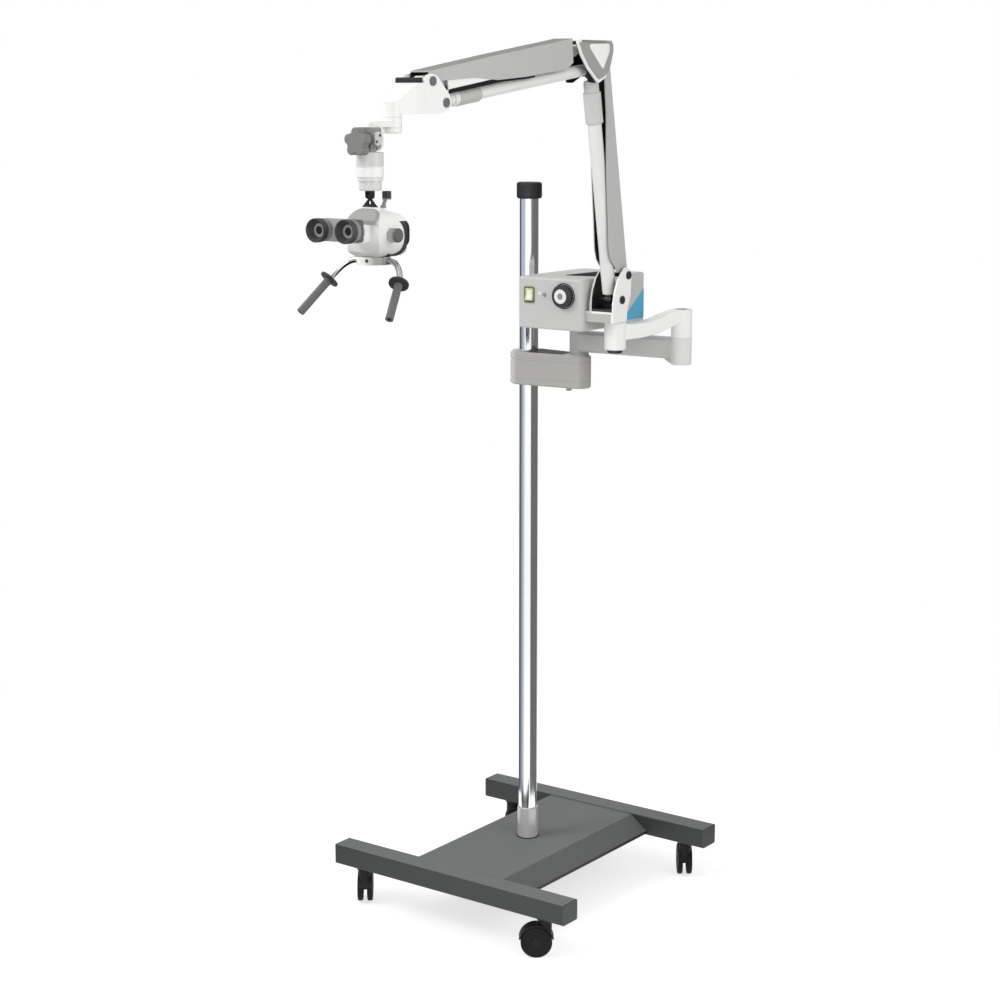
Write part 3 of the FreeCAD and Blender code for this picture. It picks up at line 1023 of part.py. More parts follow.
def handle(name, side):
    start = FreeCAD.Vector(HANDLE_X, HANDLE_Y, HANDLE_Z)
    end = vec(FLANGE_AT)
    path = Part.BSplineCurve()
    middle = FreeCAD.Vector(58.0, -897.0, 1456.5)
    path.interpolate(Points=[start, middle, end], InitialTangent=FreeCAD.Vector(1, 0, 0),
                     FinalTangent=grip_way)
    wire = Part.Wire([path.toShape()])
    circle = Part.Wire([Part.makeCircle(HANDLE_R, start, FreeCAD.Vector(1, 0, 0))])
    bar = wire.makePipeShell([circle], True, False)
    root = cyl(HANDLE_R, (bore_from + 0.5, HANDLE_Y, HANDLE_Z), (HANDLE_X, HANDLE_Y, HANDLE_Z))
    tip = end + grip_way * (FLANGE_THICK + 20)
    bar = fuse(bar, root, Part.makeCylinder(HANDLE_R, FLANGE_THICK + 20, end, grip_way))
    flange = Part.makeCylinder(FLANGE_R, FLANGE_THICK, end, grip_way)
    grip = Part.makeCylinder(GRIP_R, GRIP_LEN, end, grip_way)
    grip = fuse(flange, grip)
    grip = grip.cut(Part.makeCylinder(HANDLE_R, FLANGE_THICK + 20, end, grip_way))
    out = []
    for shape in (bar, grip):
        shape = moved(shape, (X, 0, 0))
        out.append(shape if side > 0 else mirror_x(shape, X))
    keep("handle_bar_" + name, out[0])
    keep("grip_" + name, out[1])


handle("right", 1)
handle("left", -1)

# Focus lever on the top of the head
post_top = HEAD_TOP + 2
post = disc((X, LEVER_Y), 5.0, "z", HEAD_TOP - 10, post_top)
keep("head_body", fuse(body, post))
lever = disc((X, LEVER_Y), 5.0, "z", post_top + FACE_GAP, post_top + 4)
lever = fuse(lever, cyl(3.2, (X, LEVER_Y, post_top + 2), (X + LEVER_LEAN - 3, LEVER_Y, post_top + 18)))
knob = box(X + LEVER_LEAN - 7, X + LEVER_LEAN + 5, LEVER_Y - 6, LEVER_Y + 6, post_top + 14, post_top + 28)
knob = soften(knob, 2.0, is_along("z"))
lever = fuse(lever, knob)
keep("focus_lever", lever)

os.makedirs("parts", exist_ok=True)
for old in os.listdir("parts"):
    if old.endswith(".step"):
        os.remove(os.path.join("parts", old))
for name, shape in PARTS.items():
    shape.exportStep(os.path.join("parts", name + ".step"))
print(len(PARTS), "nodes")
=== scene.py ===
"""Looks of a surgical microscope on a wheeled floor stand.

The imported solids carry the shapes. This file gives each of them a finish, adds the small trim
that the solids leave out, and sets up the floor, the lamps and the camera.
"""

import math

import bmesh
import bpy
from bpy.props import FloatProperty, FloatVectorProperty, IntProperty, PointerProperty
from bpy.types import Operator, Panel, PropertyGroup
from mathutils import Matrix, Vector


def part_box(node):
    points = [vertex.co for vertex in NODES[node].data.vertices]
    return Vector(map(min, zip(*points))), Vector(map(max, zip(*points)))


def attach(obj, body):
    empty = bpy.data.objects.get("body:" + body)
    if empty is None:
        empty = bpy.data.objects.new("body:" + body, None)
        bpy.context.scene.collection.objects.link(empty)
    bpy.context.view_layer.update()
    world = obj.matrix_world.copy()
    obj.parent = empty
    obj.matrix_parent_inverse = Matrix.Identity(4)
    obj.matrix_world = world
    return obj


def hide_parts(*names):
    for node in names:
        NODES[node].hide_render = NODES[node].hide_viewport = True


bl_info = {
    "name": "Surgical Microscope Looks",
    "version": (1, 0, 0),
    "blender": (4, 5, 0),
    "location": "View3D > Sidebar > Microscope",
    "description": "Finishes, trim, floor, lamps and camera for a microscope on a floor stand",
    "category": "Object",
}

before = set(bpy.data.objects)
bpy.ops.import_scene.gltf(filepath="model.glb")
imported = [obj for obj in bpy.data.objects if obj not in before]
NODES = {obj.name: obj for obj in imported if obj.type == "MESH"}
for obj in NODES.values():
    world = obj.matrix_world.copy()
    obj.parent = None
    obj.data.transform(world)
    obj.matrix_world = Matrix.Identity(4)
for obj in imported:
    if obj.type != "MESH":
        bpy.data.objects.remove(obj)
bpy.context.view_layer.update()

MM = 0.001
AXES = {"x": (1, 0, 0), "y": (0, 1, 0), "z": (0, 0, 1)}
SIDES = (("left", -1), ("right", 1))

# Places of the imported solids, in millimetres. The links' pivots are (y, z) points, SOCKET holds two
# heights, ELBOW is an (x, y) point, ROCKER an (x, z) point, and HEAD_RIM a round edge on the head's
# sides, as its centre, direction and radius.
ARM_X = 314.0
LOWER_PIN_LOW = (-170.0, 1343.5)
LOWER_COVER_LOW = (-148.0, 1390.0)
LOWER_PIN_HIGH = (-245.0, 1772.5)
UPPER_COVER_REAR = (-297.0, 1818.0)
UPPER_PIN_REAR = (-260.0, 1782.0)
UPPER_COVER_FRONT = (-760.0, 1759.0)
UPPER_PIN_FRONT = (-723.0, 1723.0)
DECK_HALF = 250.0
DECK_TOP = 125.6
SOCKET = (100.0, 195.4)
CLAMP_TOP = 1205.0
ELBOW = (367.5, 12)
HOUSING_FRONT = -210.0
HOUSING_REAR = 19.0
HOUSING_RIGHT = 275.9
HOUSING_TOP = 1381.9
HOUSING_BOTTOM = 1281.0
DIAL = (233.0, HOUSING_FRONT, 1347.9)
ROCKER = (150.3, 1346.4)
EYES = (("left", 283.0), ("right", 345.0))
EYE_FACE = -995.0
EYE_Z = 1519.5
HEAD_RIM = ((ARM_X, -878.7, 1505.3), (1, 0, 0), 29.2)
GRIP_WAY = Vector((22.2, -54.4, -55.9)).normalized()
WHEEL_TURN = {"fl": 126.0, "fr": 216.0, "rl": 36.0, "rr": 126.0}

# The stage, in metres. Each card stands round the column from a start to an end angle in degrees.
CAMERA_PLACE = (2.5611, -3.6017, 1.7458)
FLOOR_HALF = 9.0
CARD_RADIUS = 0.62
CARD_FOOT, CARD_STEP, CARD_TOP = 0.02, 1.3, 2.4
CARDS = (
    ("card_dark", -29.0, 92.0, CARD_FOOT, CARD_TOP, "#6c6d67"),
    ("card_edge", 128.0, 196.0, CARD_FOOT, CARD_TOP, "#565b60"),
    ("card_low_a", 196.0, 214.0, CARD_FOOT, CARD_STEP, "#868b92"),
    ("card_low_b", 214.0, 236.0, CARD_FOOT, CARD_STEP, "#a7acb4"),
    ("card_low_c", 236.0, 256.0, CARD_FOOT, CARD_STEP, "#cfd3da"),
    ("card_high", 196.0, 256.0, CARD_STEP, CARD_TOP, "#b9bbce"))
UNDER_HEAD = Vector((0.314, -0.93, 1.15))
UNDER_RADIUS = 0.42


def shade(code):
    """Linear colour of a hex colour."""
    parts = [int(code[i:i + 2], 16) / 255.0 for i in (1, 3, 5)]
    return [c / 12.92 if c <= 0.04045 else ((c + 0.055) / 1.055) ** 2.4 for c in parts]


def opaque(colour):
    return (*colour, 1.0)


def mm(*point):
    """A point or size given in millimetres, in metres."""
    return Vector([c * MM for c in point])


# Node trees

def blank_tree(data):
    """The emptied node tree of a material or a world."""
    data.use_nodes = True
    data.node_tree.nodes.clear()
    return data.node_tree


def add(tree, kind, **settings):
    made = tree.nodes.new(kind)
    for key, value in settings.items():
        setattr(made, key, value)
    return made


def feed(tree, target, source):
    """Joins an output socket to an input, or sets the input's own value."""
    if isinstance(source, bpy.types.NodeSocket):
        tree.links.new(source, target)
    else:
        target.default_value = source


def maths(tree, operation, *values, clamp=False):
    made = add(tree, "ShaderNodeMath", operation=operation, use_clamp=clamp)
    for socket, value in zip(made.inputs, values):
        feed(tree, socket, value)
    return made.outputs[0]


def product(tree, *values):
    """Multiplies masks and other values from 0 to 1."""
    total = values[0]
    for value in values[1:]:
        total = maths(tree, "MULTIPLY", total, value, clamp=True)
    return total


def vectors(tree, operation, *values):
    made = add(tree, "ShaderNodeVectorMath", operation=operation)
    for socket, value in zip(made.inputs, values):
        feed(tree, socket, value)
    return made.outputs["Value" if operation in ("DOT_PRODUCT", "LENGTH") else "Vector"]


def spread(tree, value, low, high, soft=False):
    """Maps low to high onto 0 to 1."""
    made = add(tree, "ShaderNodeMapRange", clamp=True)
    if soft:
        made.interpolation_type = "SMOOTHSTEP"
    for name, number in (("Value", value), ("From Min", low), ("From Max", high)):
        feed(tree, made.inputs[name], number)
    return made.outputs["Result"]


def blend(tree, mask, first, second, colour=False):
    """Mixes two numbers, or two colours, by a mask."""
    made = add(tree, "ShaderNodeMix", data_type="RGBA" if colour else "FLOAT")
    for index, value in zip((0, 6, 7) if colour else (0, 2, 3), (mask, first, second)):
        feed(tree, made.inputs[index], value)
    return made.outputs[2 if colour else 0]


def noise(tree, place, scale, detail=2.0, rough=0.5):
    made = add(tree, "ShaderNodeTexNoise")
    feed(tree, made.inputs["Vector"], place)
    feed(tree, made.inputs["Scale"], scale)
    made.inputs["Detail"].default_value = detail
    made.inputs["Roughness"].default_value = rough
    return made.outputs["Fac"]


def start_group(name, inputs, outputs):
    """An empty effect with its named sockets."""
    group = bpy.data.node_groups.new(name, "ShaderNodeTree")
    for label, kind, default in inputs:
        socket = group.interface.new_socket(name=label, in_out="INPUT", socket_type=kind)
        if default is not None:
            socket.default_value = default
    for label, kind in outputs:
        group.interface.new_socket(name=label, in_out="OUTPUT", socket_type=kind)
    return group, add(group, "NodeGroupInput").outputs, add(group, "NodeGroupOutput").inputs


NUMBER = "NodeSocketFloat"
PLACE = "NodeSocketVector"
COLOUR = "NodeSocketColor"


def make_grain(name):
    """Height of a moulded or sprayed skin: rounded cells under a finer noise."""
    group, get, put = start_group(
        name, [("Place", PLACE, None), ("Scale", NUMBER, 900.0), ("Cells", NUMBER, 0.5)],
        [("Height", NUMBER)])
    fine = noise(group, get["Place"], get["Scale"], 3.0, 0.6)
    cells = add(group, "ShaderNodeTexVoronoi", feature="SMOOTH_F1")
    feed(group, cells.inputs["Vector"], get["Place"])
    feed(group, cells.inputs["Scale"], maths(group, "MULTIPLY", get["Scale"], 0.8))
    cells.inputs["Smoothness"].default_value = 0.6
    feed(group, put["Height"], blend(group, get["Cells"], fine, cells.outputs["Distance"]))
    return group


def make_tone(name):
    """Slow drift of colour and roughness over a surface, with faint handling patches."""
    group, get, put = start_group(
        name, [("Place", PLACE, None), ("Color", COLOUR, None), ("Drift", NUMBER, 0.03),
               ("Patch Scale", NUMBER, 9.0), ("Roughness", NUMBER, 0.4), ("Roughness Drift", NUMBER, 0.06)],
        [("Color", COLOUR), ("Roughness", NUMBER)])
    slow = noise(group, get["Place"], get["Patch Scale"], 3.0, 0.55)
    quick = noise(group, get["Place"], maths(group, "MULTIPLY", get["Patch Scale"], 14.0), 2.0, 0.5)
    mixed = maths(group, "ADD", maths(group, "MULTIPLY", slow, 1.4), maths(group, "MULTIPLY", quick, 0.6))
    centred = maths(group, "SUBTRACT", mixed, 1.0)
    gain = maths(group, "ADD", maths(group, "MULTIPLY", centred, get["Drift"]), 1.0)
    feed(group, put["Color"], vectors(group, "MULTIPLY", get["Color"], gain))
    smear = noise(group, get["Place"], maths(group, "MULTIPLY", get["Patch Scale"], 3.0), 4.0, 0.65)
    shift = maths(group, "MULTIPLY", maths(group, "SUBTRACT", smear, 0.5), get["Roughness Drift"])
    feed(group, put["Roughness"],
         maths(group, "ADD", get["Roughness"], maths(group, "MULTIPLY", shift, 2.0), clamp=True))
    return group


def make_edges(name):
    """Softened normal at sharp edges, and a broken mask of where those edges are rubbed."""
    group, get, put = start_group(
        name, [("Place", PLACE, None), ("Radius", NUMBER, 0.0012), ("Wear", NUMBER, 0.2)],
        [("Normal", PLACE), ("Mask", NUMBER)])
    rounded = add(group, "ShaderNodeBevel", samples=4)
    feed(group, rounded.inputs["Radius"], get["Radius"])
    flat = add(group, "ShaderNodeNewGeometry").outputs["Normal"]
    lean = maths(group, "SUBTRACT", 1.0, vectors(group, "DOT_PRODUCT", rounded.outputs["Normal"], flat))
    band = spread(group, lean, 0.02, 0.2, soft=True)
    broken = spread(group, noise(group, get["Place"], 160.0, 4.0, 0.7), 0.38, 0.62, soft=True)
    feed(group, put["Normal"], rounded.outputs["Normal"])
    feed(group, put["Mask"], product(group, band, broken, get["Wear"]))
    return group


def make_dust_and_shaded_tops(name):
    """A dusty film on faces turned upwards. With Even near 1 it tints every such face alike, as painted top
    light: lighter tops on the base and darker tops, painted shade, on the covers.
    """
    group, get, put = start_group(
        name, [("Place", PLACE, None), ("Amount", NUMBER, 0.1), ("Even", NUMBER, 0.0)], [("Mask", NUMBER)])
    facing = add(group, "ShaderNodeTexCoord").outputs["Normal"]
    up = spread(group, vectors(group, "DOT_PRODUCT", facing, AXES["z"]), 0.55, 0.95, soft=True)
    patch = spread(group, noise(group, get["Place"], 26.0, 5.0, 0.7), 0.35, 0.75)
    patch = maths(group, "MAXIMUM", patch, get["Even"])
    feed(group, put["Mask"], product(group, up, patch, get["Amount"]))
    return group


def make_lines(name):
    """Height of fine drawn or turned lines that run along one direction."""
    group, get, put = start_group(
        name, [("Place", PLACE, None), ("Along", PLACE, AXES["z"]), ("Scale", NUMBER, 1400.0)],
        [("Height", NUMBER)])
    share = vectors(group, "DOT_PRODUCT", get["Place"], get["Along"])
    part = add(group, "ShaderNodeVectorMath", operation="SCALE")
    feed(group, part.inputs[0], get["Along"])
    feed(group, part.inputs["Scale"], maths(group, "MULTIPLY", share, -0.985))
    squeezed = vectors(group, "ADD", get["Place"], part.outputs[0])
    feed(group, put["Height"], noise(group, squeezed, get["Scale"], 2.0, 0.5))
    return group


MAKERS = {"skin_grain": make_grain, "tone_drift": make_tone, "rubbed_edges": make_edges,
          "dust_and_shaded_tops": make_dust_and_shaded_tops, "drawn_lines": make_lines}
EFFECTS = {}


def effect(tree, name, **values):
    """Places a shared effect in a material with its own values."""
    if name not in EFFECTS:
        EFFECTS[name] = MAKERS[name](name)
    made = add(tree, "ShaderNodeGroup")
    made.node_tree = EFFECTS[name]
    for label, value in values.items():
        feed(tree, made.inputs[label.replace("_", " ")], value)
    return made.outputs


# Zones: parts of a piece picked out by their place at rest, in millimetres

def distance_along(tree, place, origin, way):
    off = vectors(tree, "SUBTRACT", place, mm(*origin))
    return vectors(tree, "DOT_PRODUCT", off, Vector(way).normalized())


def slab(tree, place, origin, way, low, high):
    """1 between two parallel planes."""
    level = distance_along(tree, place, origin, way)
    return product(tree, maths(tree, "GREATER_THAN", level, low * MM),
                   maths(tree, "LESS_THAN", level, high * MM))


def ramp(tree, place, origin, way, low, high):
    """Rises softly from 0 to 1 between two parallel planes."""
    return spread(tree, distance_along(tree, place, origin, way), low * MM, high * MM, soft=True)


def drum(tree, place, centre, way, radius):
    """1 inside an endless cylinder."""
    off = vectors(tree, "SUBTRACT", place, mm(*centre))
    side = vectors(tree, "CROSS_PRODUCT", off, Vector(way).normalized())
    return maths(tree, "LESS_THAN", vectors(tree, "LENGTH", side), radius * MM)


def beyond(tree, place, centre, way, radius):
    """1 outside an endless cylinder."""
    return maths(tree, "SUBTRACT", 1.0, drum(tree, place, centre, way, radius))


def span(axis, low, high):
    """Test for places between two levels of an axis."""
    way = AXES[axis]
    return slab, [low * part for part in way], way, 0.0, high - low


def middle(half):
    """Test for places close to the arms' middle plane."""
    return slab, (ARM_X, 0, 0), AXES["x"], -half, half


def fade(axis, start, end):
    """Test that rises softly from one level of an axis to another."""
    way = AXES[axis]
    sign = math.copysign(1.0, end - start)
    return ramp, [start * part for part in way], [sign * part for part in way], 0.0, abs(end - start)


def zone(code, *tests, **surface):
    """The places where all the tests hold get a colour, and may get a roughness and a metallic value."""
    return {"tests": tests, "colour": shade(code), **surface}


def zone_mask(tree, place, tests):
    return product(tree, *(test(tree, place, *values) for test, *values in tests))


def raised(tree, normal, height, depth):
    """The normal over a height map of the given depth in millimetres."""
    bump = add(tree, "ShaderNodeBump")
    bump.inputs["Distance"].default_value = depth * MM
    feed(tree, bump.inputs["Height"], height)
    feed(tree, bump.inputs["Normal"], normal)
    return bump.outputs["Normal"]


FINISHES = {}


def finish(name, colour, roughness, metallic=0.0, grain=0.0, grain_scale=900.0, cells=0.5, drift=0.03,
           patch=9.0, smear=0.06, edge=0.0008, wear=0.0, worn="#b8b8b4", dust_and_top_shading=0.0, dust_and_top_shading_colour="#a9a7a0",
           even=0.0, lines=None, line_scale=1400.0, line_depth=0.0, coat=0.0, coat_roughness=0.1,
           specular=0.5, zones=()):
    """One material. The shader's plain numbers are set on its own sockets; what changes over the
    surface comes from the shared effects. A colour is a hex code or a linear triple."""
    if name in FINISHES:
        return FINISHES[name]
    material = FINISHES[name] = bpy.data.materials.new(name)
    tree = blank_tree(material)
    place = add(tree, "ShaderNodeTexCoord").outputs["Object"]
    base = opaque(shade(colour) if isinstance(colour, str) else colour)
    rough = roughness
    metal = metallic
    for part in zones:
        mask = zone_mask(tree, place, part["tests"])
        base = blend(tree, mask, base, opaque(part["colour"]), colour=True)
        if "roughness" in part:
            rough = blend(tree, mask, rough, part["roughness"])
        if "metallic" in part:
            metal = blend(tree, mask, metal, part["metallic"])
    tone = effect(tree, "tone_drift", Place=place, Color=base, Drift=drift, Patch_Scale=patch,
                  Roughness=rough, Roughness_Drift=smear)
    skin = tone["Color"]
    rough = tone["Roughness"]
    rounded = effect(tree, "rubbed_edges", Place=place, Radius=edge, Wear=wear)
    if wear:
        skin = blend(tree, rounded["Mask"], skin, opaque(shade(worn)), colour=True)
    # Settled dirt where even is 0; with even near 1 the tint covers every upward face and is painted top
    # light or painted top shade, by its colour.
    if dust_and_top_shading:
        film = effect(tree, "dust_and_shaded_tops", Place=place, Amount=dust_and_top_shading, Even=even)["Mask"]
        skin = blend(tree, film, skin, opaque(shade(dust_and_top_shading_colour)), colour=True)
        rough = blend(tree, film, rough, 0.9)
    normal = rounded["Normal"]
    if grain:
        skin_grain = effect(tree, "skin_grain", Place=place, Scale=grain_scale, Cells=cells)
        normal = raised(tree, normal, skin_grain["Height"], grain)
    if lines:
        drawn = effect(tree, "drawn_lines", Place=place, Along=Vector(lines), Scale=line_scale)
        normal = raised(tree, normal, drawn["Height"], line_depth)
    shader = add(tree, "ShaderNodeBsdfPrincipled")
    for label, value in (("Base Color", skin), ("Roughness", rough), ("Metallic", metal), ("Normal", normal),
                         ("Specular IOR Level", specular), ("Coat Weight", coat),
                         ("Coat Roughness", coat_roughness)):
        feed(tree, shader.inputs[label], value)
    feed(tree, add(tree, "ShaderNodeOutputMaterial").inputs["Surface"], shader.outputs[0])
    return material


def dress(material, *nodes):
    """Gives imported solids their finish."""
    for name in nodes:
        data = NODES[name].data
        if not data.materials:
            data.materials.append(material)
        for index in range(len(data.materials)):
            data.materials[index] = material


# Trim meshes

def mesh_data(name, mesh, *materials):
    """Moves a bmesh into a new mesh with its materials."""
    data = bpy.data.meshes.new(name)
    mesh.to_mesh(data)
    mesh.free()
    for material in materials:
        data.materials.append(material)
    return data


def add_object(name, data):
    made = bpy.data.objects.new(name, data)
    bpy.context.scene.collection.objects.link(made)
    return made


def settle(name, mesh, material, body, angle=35.0):
    """Turns a bmesh into a piece that rides on a body."""
    bmesh.ops.remove_doubles(mesh, verts=mesh.verts, dist=1e-7)
    bmesh.ops.recalc_face_normals(mesh, faces=mesh.faces)
    data = mesh_data(name, mesh, material)
    data.polygons.foreach_set("use_smooth", [True] * len(data.polygons))
    data.set_sharp_from_angle(angle=math.radians(angle))
    piece = add_object(name, data)
    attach(piece, body)
    return piece


def across(way):
    """Two directions square to the one given."""
    way = Vector(way).normalized()
    start = Vector(AXES["z"]) if abs(way.z) < 0.9 else Vector(AXES["x"])
    first = start.cross(way).normalized()
    return first, way.cross(first)


def spokes(way, steps):
    """Directions all round an axis, each with its angle."""
    first, second = across(way)
    angles = [2 * math.pi * i / steps for i in range(steps)]
    return [(angle, first * math.cos(angle) + second * math.sin(angle)) for angle in angles]


def turn(mesh, profile, centre, way, steps=56):
    """Adds a turned shape: the profile's (radius, height) points swept round an axis."""
    way = Vector(way).normalized()
    ring = spokes(way, steps)
    rows = []
    for radius, level in profile:
        around = ring if radius > 1e-6 else [(0.0, Vector())]
        middle_point = mm(*centre) + way * level * MM
        rows.append([mesh.verts.new(middle_point + spoke * radius * MM) for _, spoke in around])
    for low, high in zip(rows, rows[1:]):
        for i in range(steps):
            j = (i + 1) % steps
            if len(low) == 1:
                mesh.faces.new((low[0], high[j], high[i]))
            elif len(high) == 1:
                mesh.faces.new((low[i], low[j], high[0]))
            else:
                mesh.faces.new((low[i], low[j], high[j], high[i]))


def turned_piece(name, profile, centre, way, material, body, steps=56, angle=35.0):
    mesh = bmesh.new()
    turn(mesh, profile, centre, way, steps)
    return settle(name, mesh, material, body, angle)


def rounded_outline(points, radius, steps=5):
    """A closed outline with each corner rounded."""
    out = []
    for i, corner in enumerate(points):
        corner = Vector(corner)
        before = Vector(points[i - 1]) - corner
        after = Vector(points[(i + 1) % len(points)]) - corner
        half = before.angle(after) / 2
        back = min(radius / math.tan(half), before.length * 0.49, after.length * 0.49)
        start = corner + before.normalized() * back
        end = corner + after.normalized() * back
        for k in range(steps + 1):
            t = k / steps
            out.append(((1 - t) ** 2) * start + 2 * t * (1 - t) * corner + t * t * end)
    return out


def slice_up(mesh, outline, axis, low, high, inset=0.0, dome=0.0):
    """Adds a plate: the outline, in the plane square to an axis, between two levels. The edge at the
    high level is drawn in by the inset, and its middle may rise by the dome."""
    count = len(outline)
    middle_point = Vector((sum(p[0] for p in outline) / count, sum(p[1] for p in outline) / count))
    sign = 1.0 if high > low else -1.0

    def loop(shrink, level):
        row = []
        for p in outline:
            way = middle_point - Vector(p)
            u, v = Vector(p) + way.normalized() * min(shrink, way.length)
            place = {"x": (level, u, v), "y": (u, level, v), "z": (u, v, level)}[axis]
            row.append(mesh.verts.new(mm(*place)))
        return row

    rows = [loop(0.0, low), loop(0.0, high - sign * inset)]
    if inset:
        rows.append(loop(inset * 0.3, high - sign * inset * 0.3))
    rows.append(loop(inset, high))
    if dome:
        for share in (0.35, 0.65, 0.85):
            reach = sum((middle_point - Vector(p)).length for p in outline) / count
            rows.append(loop(inset + reach * share * 0.9, high + sign * dome * math.sin(share * math.pi / 2)))
    for lower, upper in zip(rows, rows[1:]):
        for i in range(count):
            j = (i + 1) % count
            if (lower[i].co - upper[i].co).length > 1e-9 or (lower[j].co - upper[j].co).length > 1e-9:
                mesh.faces.new((lower[i], lower[j], upper[j], upper[i]))
    mesh.faces.new(rows[0])
    mesh.faces.new(list(reversed(rows[-1])))


def plate(name, outline, axis, low, high, material, body, corner=0.0, inset=0.2, dome=0.0):
    mesh = bmesh.new()
    line = rounded_outline(outline, corner) if corner else [Vector(p) for p in outline]
    slice_up(mesh, line, axis, low, high, inset, dome)
    return settle(name, mesh, material, body)


def socket_screw(mesh, centre, way, radius, height, key):
    """Adds a cap screw head with a hexagon socket."""
    steps = 24
    way = Vector(way).normalized()
    turn(mesh, [(radius, 0.0), (radius, height * 0.8), (radius * 0.88, height), (key * 1.12, height)],
         centre, way, steps)
    rim = []
    floor = []
    for angle, spoke in spokes(way, steps):
        flat = key * math.cos(math.pi / 6) / math.cos((angle % (math.pi / 3)) - math.pi / 6)
        rim.append([mesh.verts.new(mm(*centre) + (way * height * share + spoke * reach) * MM)
                    for share, reach in ((1.0, key * 1.12), (0.98, flat))])
        floor.append(mesh.verts.new(mm(*centre) + (way * height * 0.4 + spoke * flat) * MM))
    for i in range(steps):
        j = (i + 1) % steps
        mesh.faces.new((rim[i][0], rim[j][0], rim[j][1], rim[i][1]))
        mesh.faces.new((rim[i][1], rim[j][1], floor[j], floor[i]))
    mesh.faces.new(floor)


def screws(name, places, way, radius, height, key, material, body):
    mesh = bmesh.new()
    for place in places:
        socket_screw(mesh, place, way, radius, height, key)
    return settle(name, mesh, material, body)


def beside(origin, target, distance, side=0.0):
    """A (y, z) point on the line between two pivots, and off to its side."""
    way = (Vector(target) - Vector(origin)).normalized()
    return Vector(origin) + way * distance + Vector((-way[1], way[0])) * side


# Settings

def colour_setting(name, description, code):
    return FloatVectorProperty(name=name, description=description, subtype="COLOR", size=3, min=0.0, max=1.0,
                               default=shade(code))


def length_setting(name, description, size, low, high):
    return FloatProperty(name=name, description=description, default=size * MM, min=low * MM, max=high * MM,
                         unit="LENGTH")


def lamp_setting(name, description, power):
    return FloatProperty(name=name, description=description, default=power, min=0.0, max=500.0, unit="POWER")


def angle_setting(name, description, angle):
    return FloatProperty(name=name, description=description, default=math.radians(angle), subtype="ANGLE",
                         unit="ROTATION")


class MicroscopeColours(PropertyGroup):
    white: colour_setting("White paint", "Castings of the arms, carriage and head", "#f4f4f2")
    housing: colour_setting("Housing", "Shell of the control box", "#c4c5c3")
    clamp: colour_setting("Clamp grey", "Height clamp on the column", "#adaca7")
    arm: colour_setting("Arm grey", "Lower extension arm", "#c4c4c2")
    cover: colour_setting("Cover grey", "Long covers of both links", "#bcbcba")
    trim: colour_setting("Trim grey", "Knuckle faces and head cover", "#a0a09e")
    base: colour_setting("Base grey", "Powder coat of the rails and deck", "#383a3a")
    black: colour_setting("Black plastic", "Caster hoods, knuckle core and small parts", "#0e0e0e")
    rubber: colour_setting("Rubber grey", "Handle grips", "#666666")
    accent: colour_setting("Accent blue", "Triangle on the side of the control box", "#58b0d4")


class MicroscopeSizes(PropertyGroup):
    pad: length_setting("Top pad thickness", "Black pad on the control box", 1.2, 0.5, 4.0)
    inset: length_setting("Inset thickness", "White inset on each knuckle face", 0.9, 0.3, 3.0)
    ridges: IntProperty(name="Eyecup ridges", description="Rings moulded into the face of an eyecup",
                        default=3, min=1, max=6)


class MicroscopeStage(PropertyGroup):
    key: lamp_setting("Key lamp", "Power of the soft lamp over the left shoulder", 54.0)
    fill: lamp_setting("Fill lamp", "Power of the soft lamp on the right", 20.0)
    front: lamp_setting("Front lamp", "Power of the low soft lamp in front", 13.0)
    sky: FloatProperty(name="Room light", description="Strength of the even light from all around",
                       default=0.58, min=0.0, max=2.0)
    lens: FloatProperty(name="Focal length", description="Of the camera", default=75.62, min=20.0, max=300.0,
                        subtype="DISTANCE_CAMERA")
    azimuth: angle_setting("Camera azimuth", "Turn of the camera from the front", 36.21)
    elevation: angle_setting("Camera elevation", "Tilt of the view below level", 11.07)


def colours():
    return bpy.context.scene.microscope_colours


def sizes():
    return bpy.context.scene.microscope_sizes


# Finishes that several pieces share

def white_paint(name="white_paint", *zones):
    return finish(name, colours().white, 0.38, grain=0.03, grain_scale=700.0, cells=0.2, drift=0.02,
                  wear=0.12, worn="#cfcfca", dust_and_top_shading=0.05, coat=0.15, zones=zones)


def smooth_paint(name, *zones):
    return finish(name, colours().white, 0.36, grain=0.03, grain_scale=700.0, cells=0.2, drift=0.02,
                  coat=0.2, zones=zones)


def tube_paint(name, colour, *zones):
    return finish(name, colour, 0.3, grain=0.02, grain_scale=700.0, cells=0.2, drift=0.02, coat=0.25,
                  zones=zones)


def rim_plastic(name="rim_plastic", *zones):
    return finish(name, "#f7f7f6", 0.3, grain=0.01, grain_scale=1200.0, drift=0.015, coat=0.3, zones=zones)


def black_plastic():
    return finish("black_plastic", colours().black, 0.52, grain=0.04, grain_scale=1300.0, drift=0.12,
                  smear=0.1, wear=0.12, worn="#303030", dust_and_top_shading=0.03, specular=0.3)


def cover_with_painted_shade(name, half, origin, way, level):
    """Cover plastic with painted shade: its inner faces are coloured black for the shade within the fold, and
    an even dark tint on its tops is painted shade too. The inner faces lie within half of the arms' middle
    plane and past a level square to the line between the link's pivots."""
    square = (0.0, -way[2], way[1])
    inside_shade = zone("#121212", middle(half), (slab, (ARM_X, *origin), square, level, 200.0), roughness=0.7)
    return finish(name, colours().cover, 0.5, grain=0.035, grain_scale=1500.0, cells=0.6, wear=0.1,
                  worn="#c6c6c2", dust_and_top_shading=0.9, even=0.9, dust_and_top_shading_colour="#828280", zones=[inside_shade])


def trim_plastic():
    return finish("trim_plastic", colours().trim, 0.52, grain=0.05, grain_scale=1200.0, cells=0.6, drift=0.05,
                  wear=0.1, worn="#bdbdb9", dust_and_top_shading=0.04)


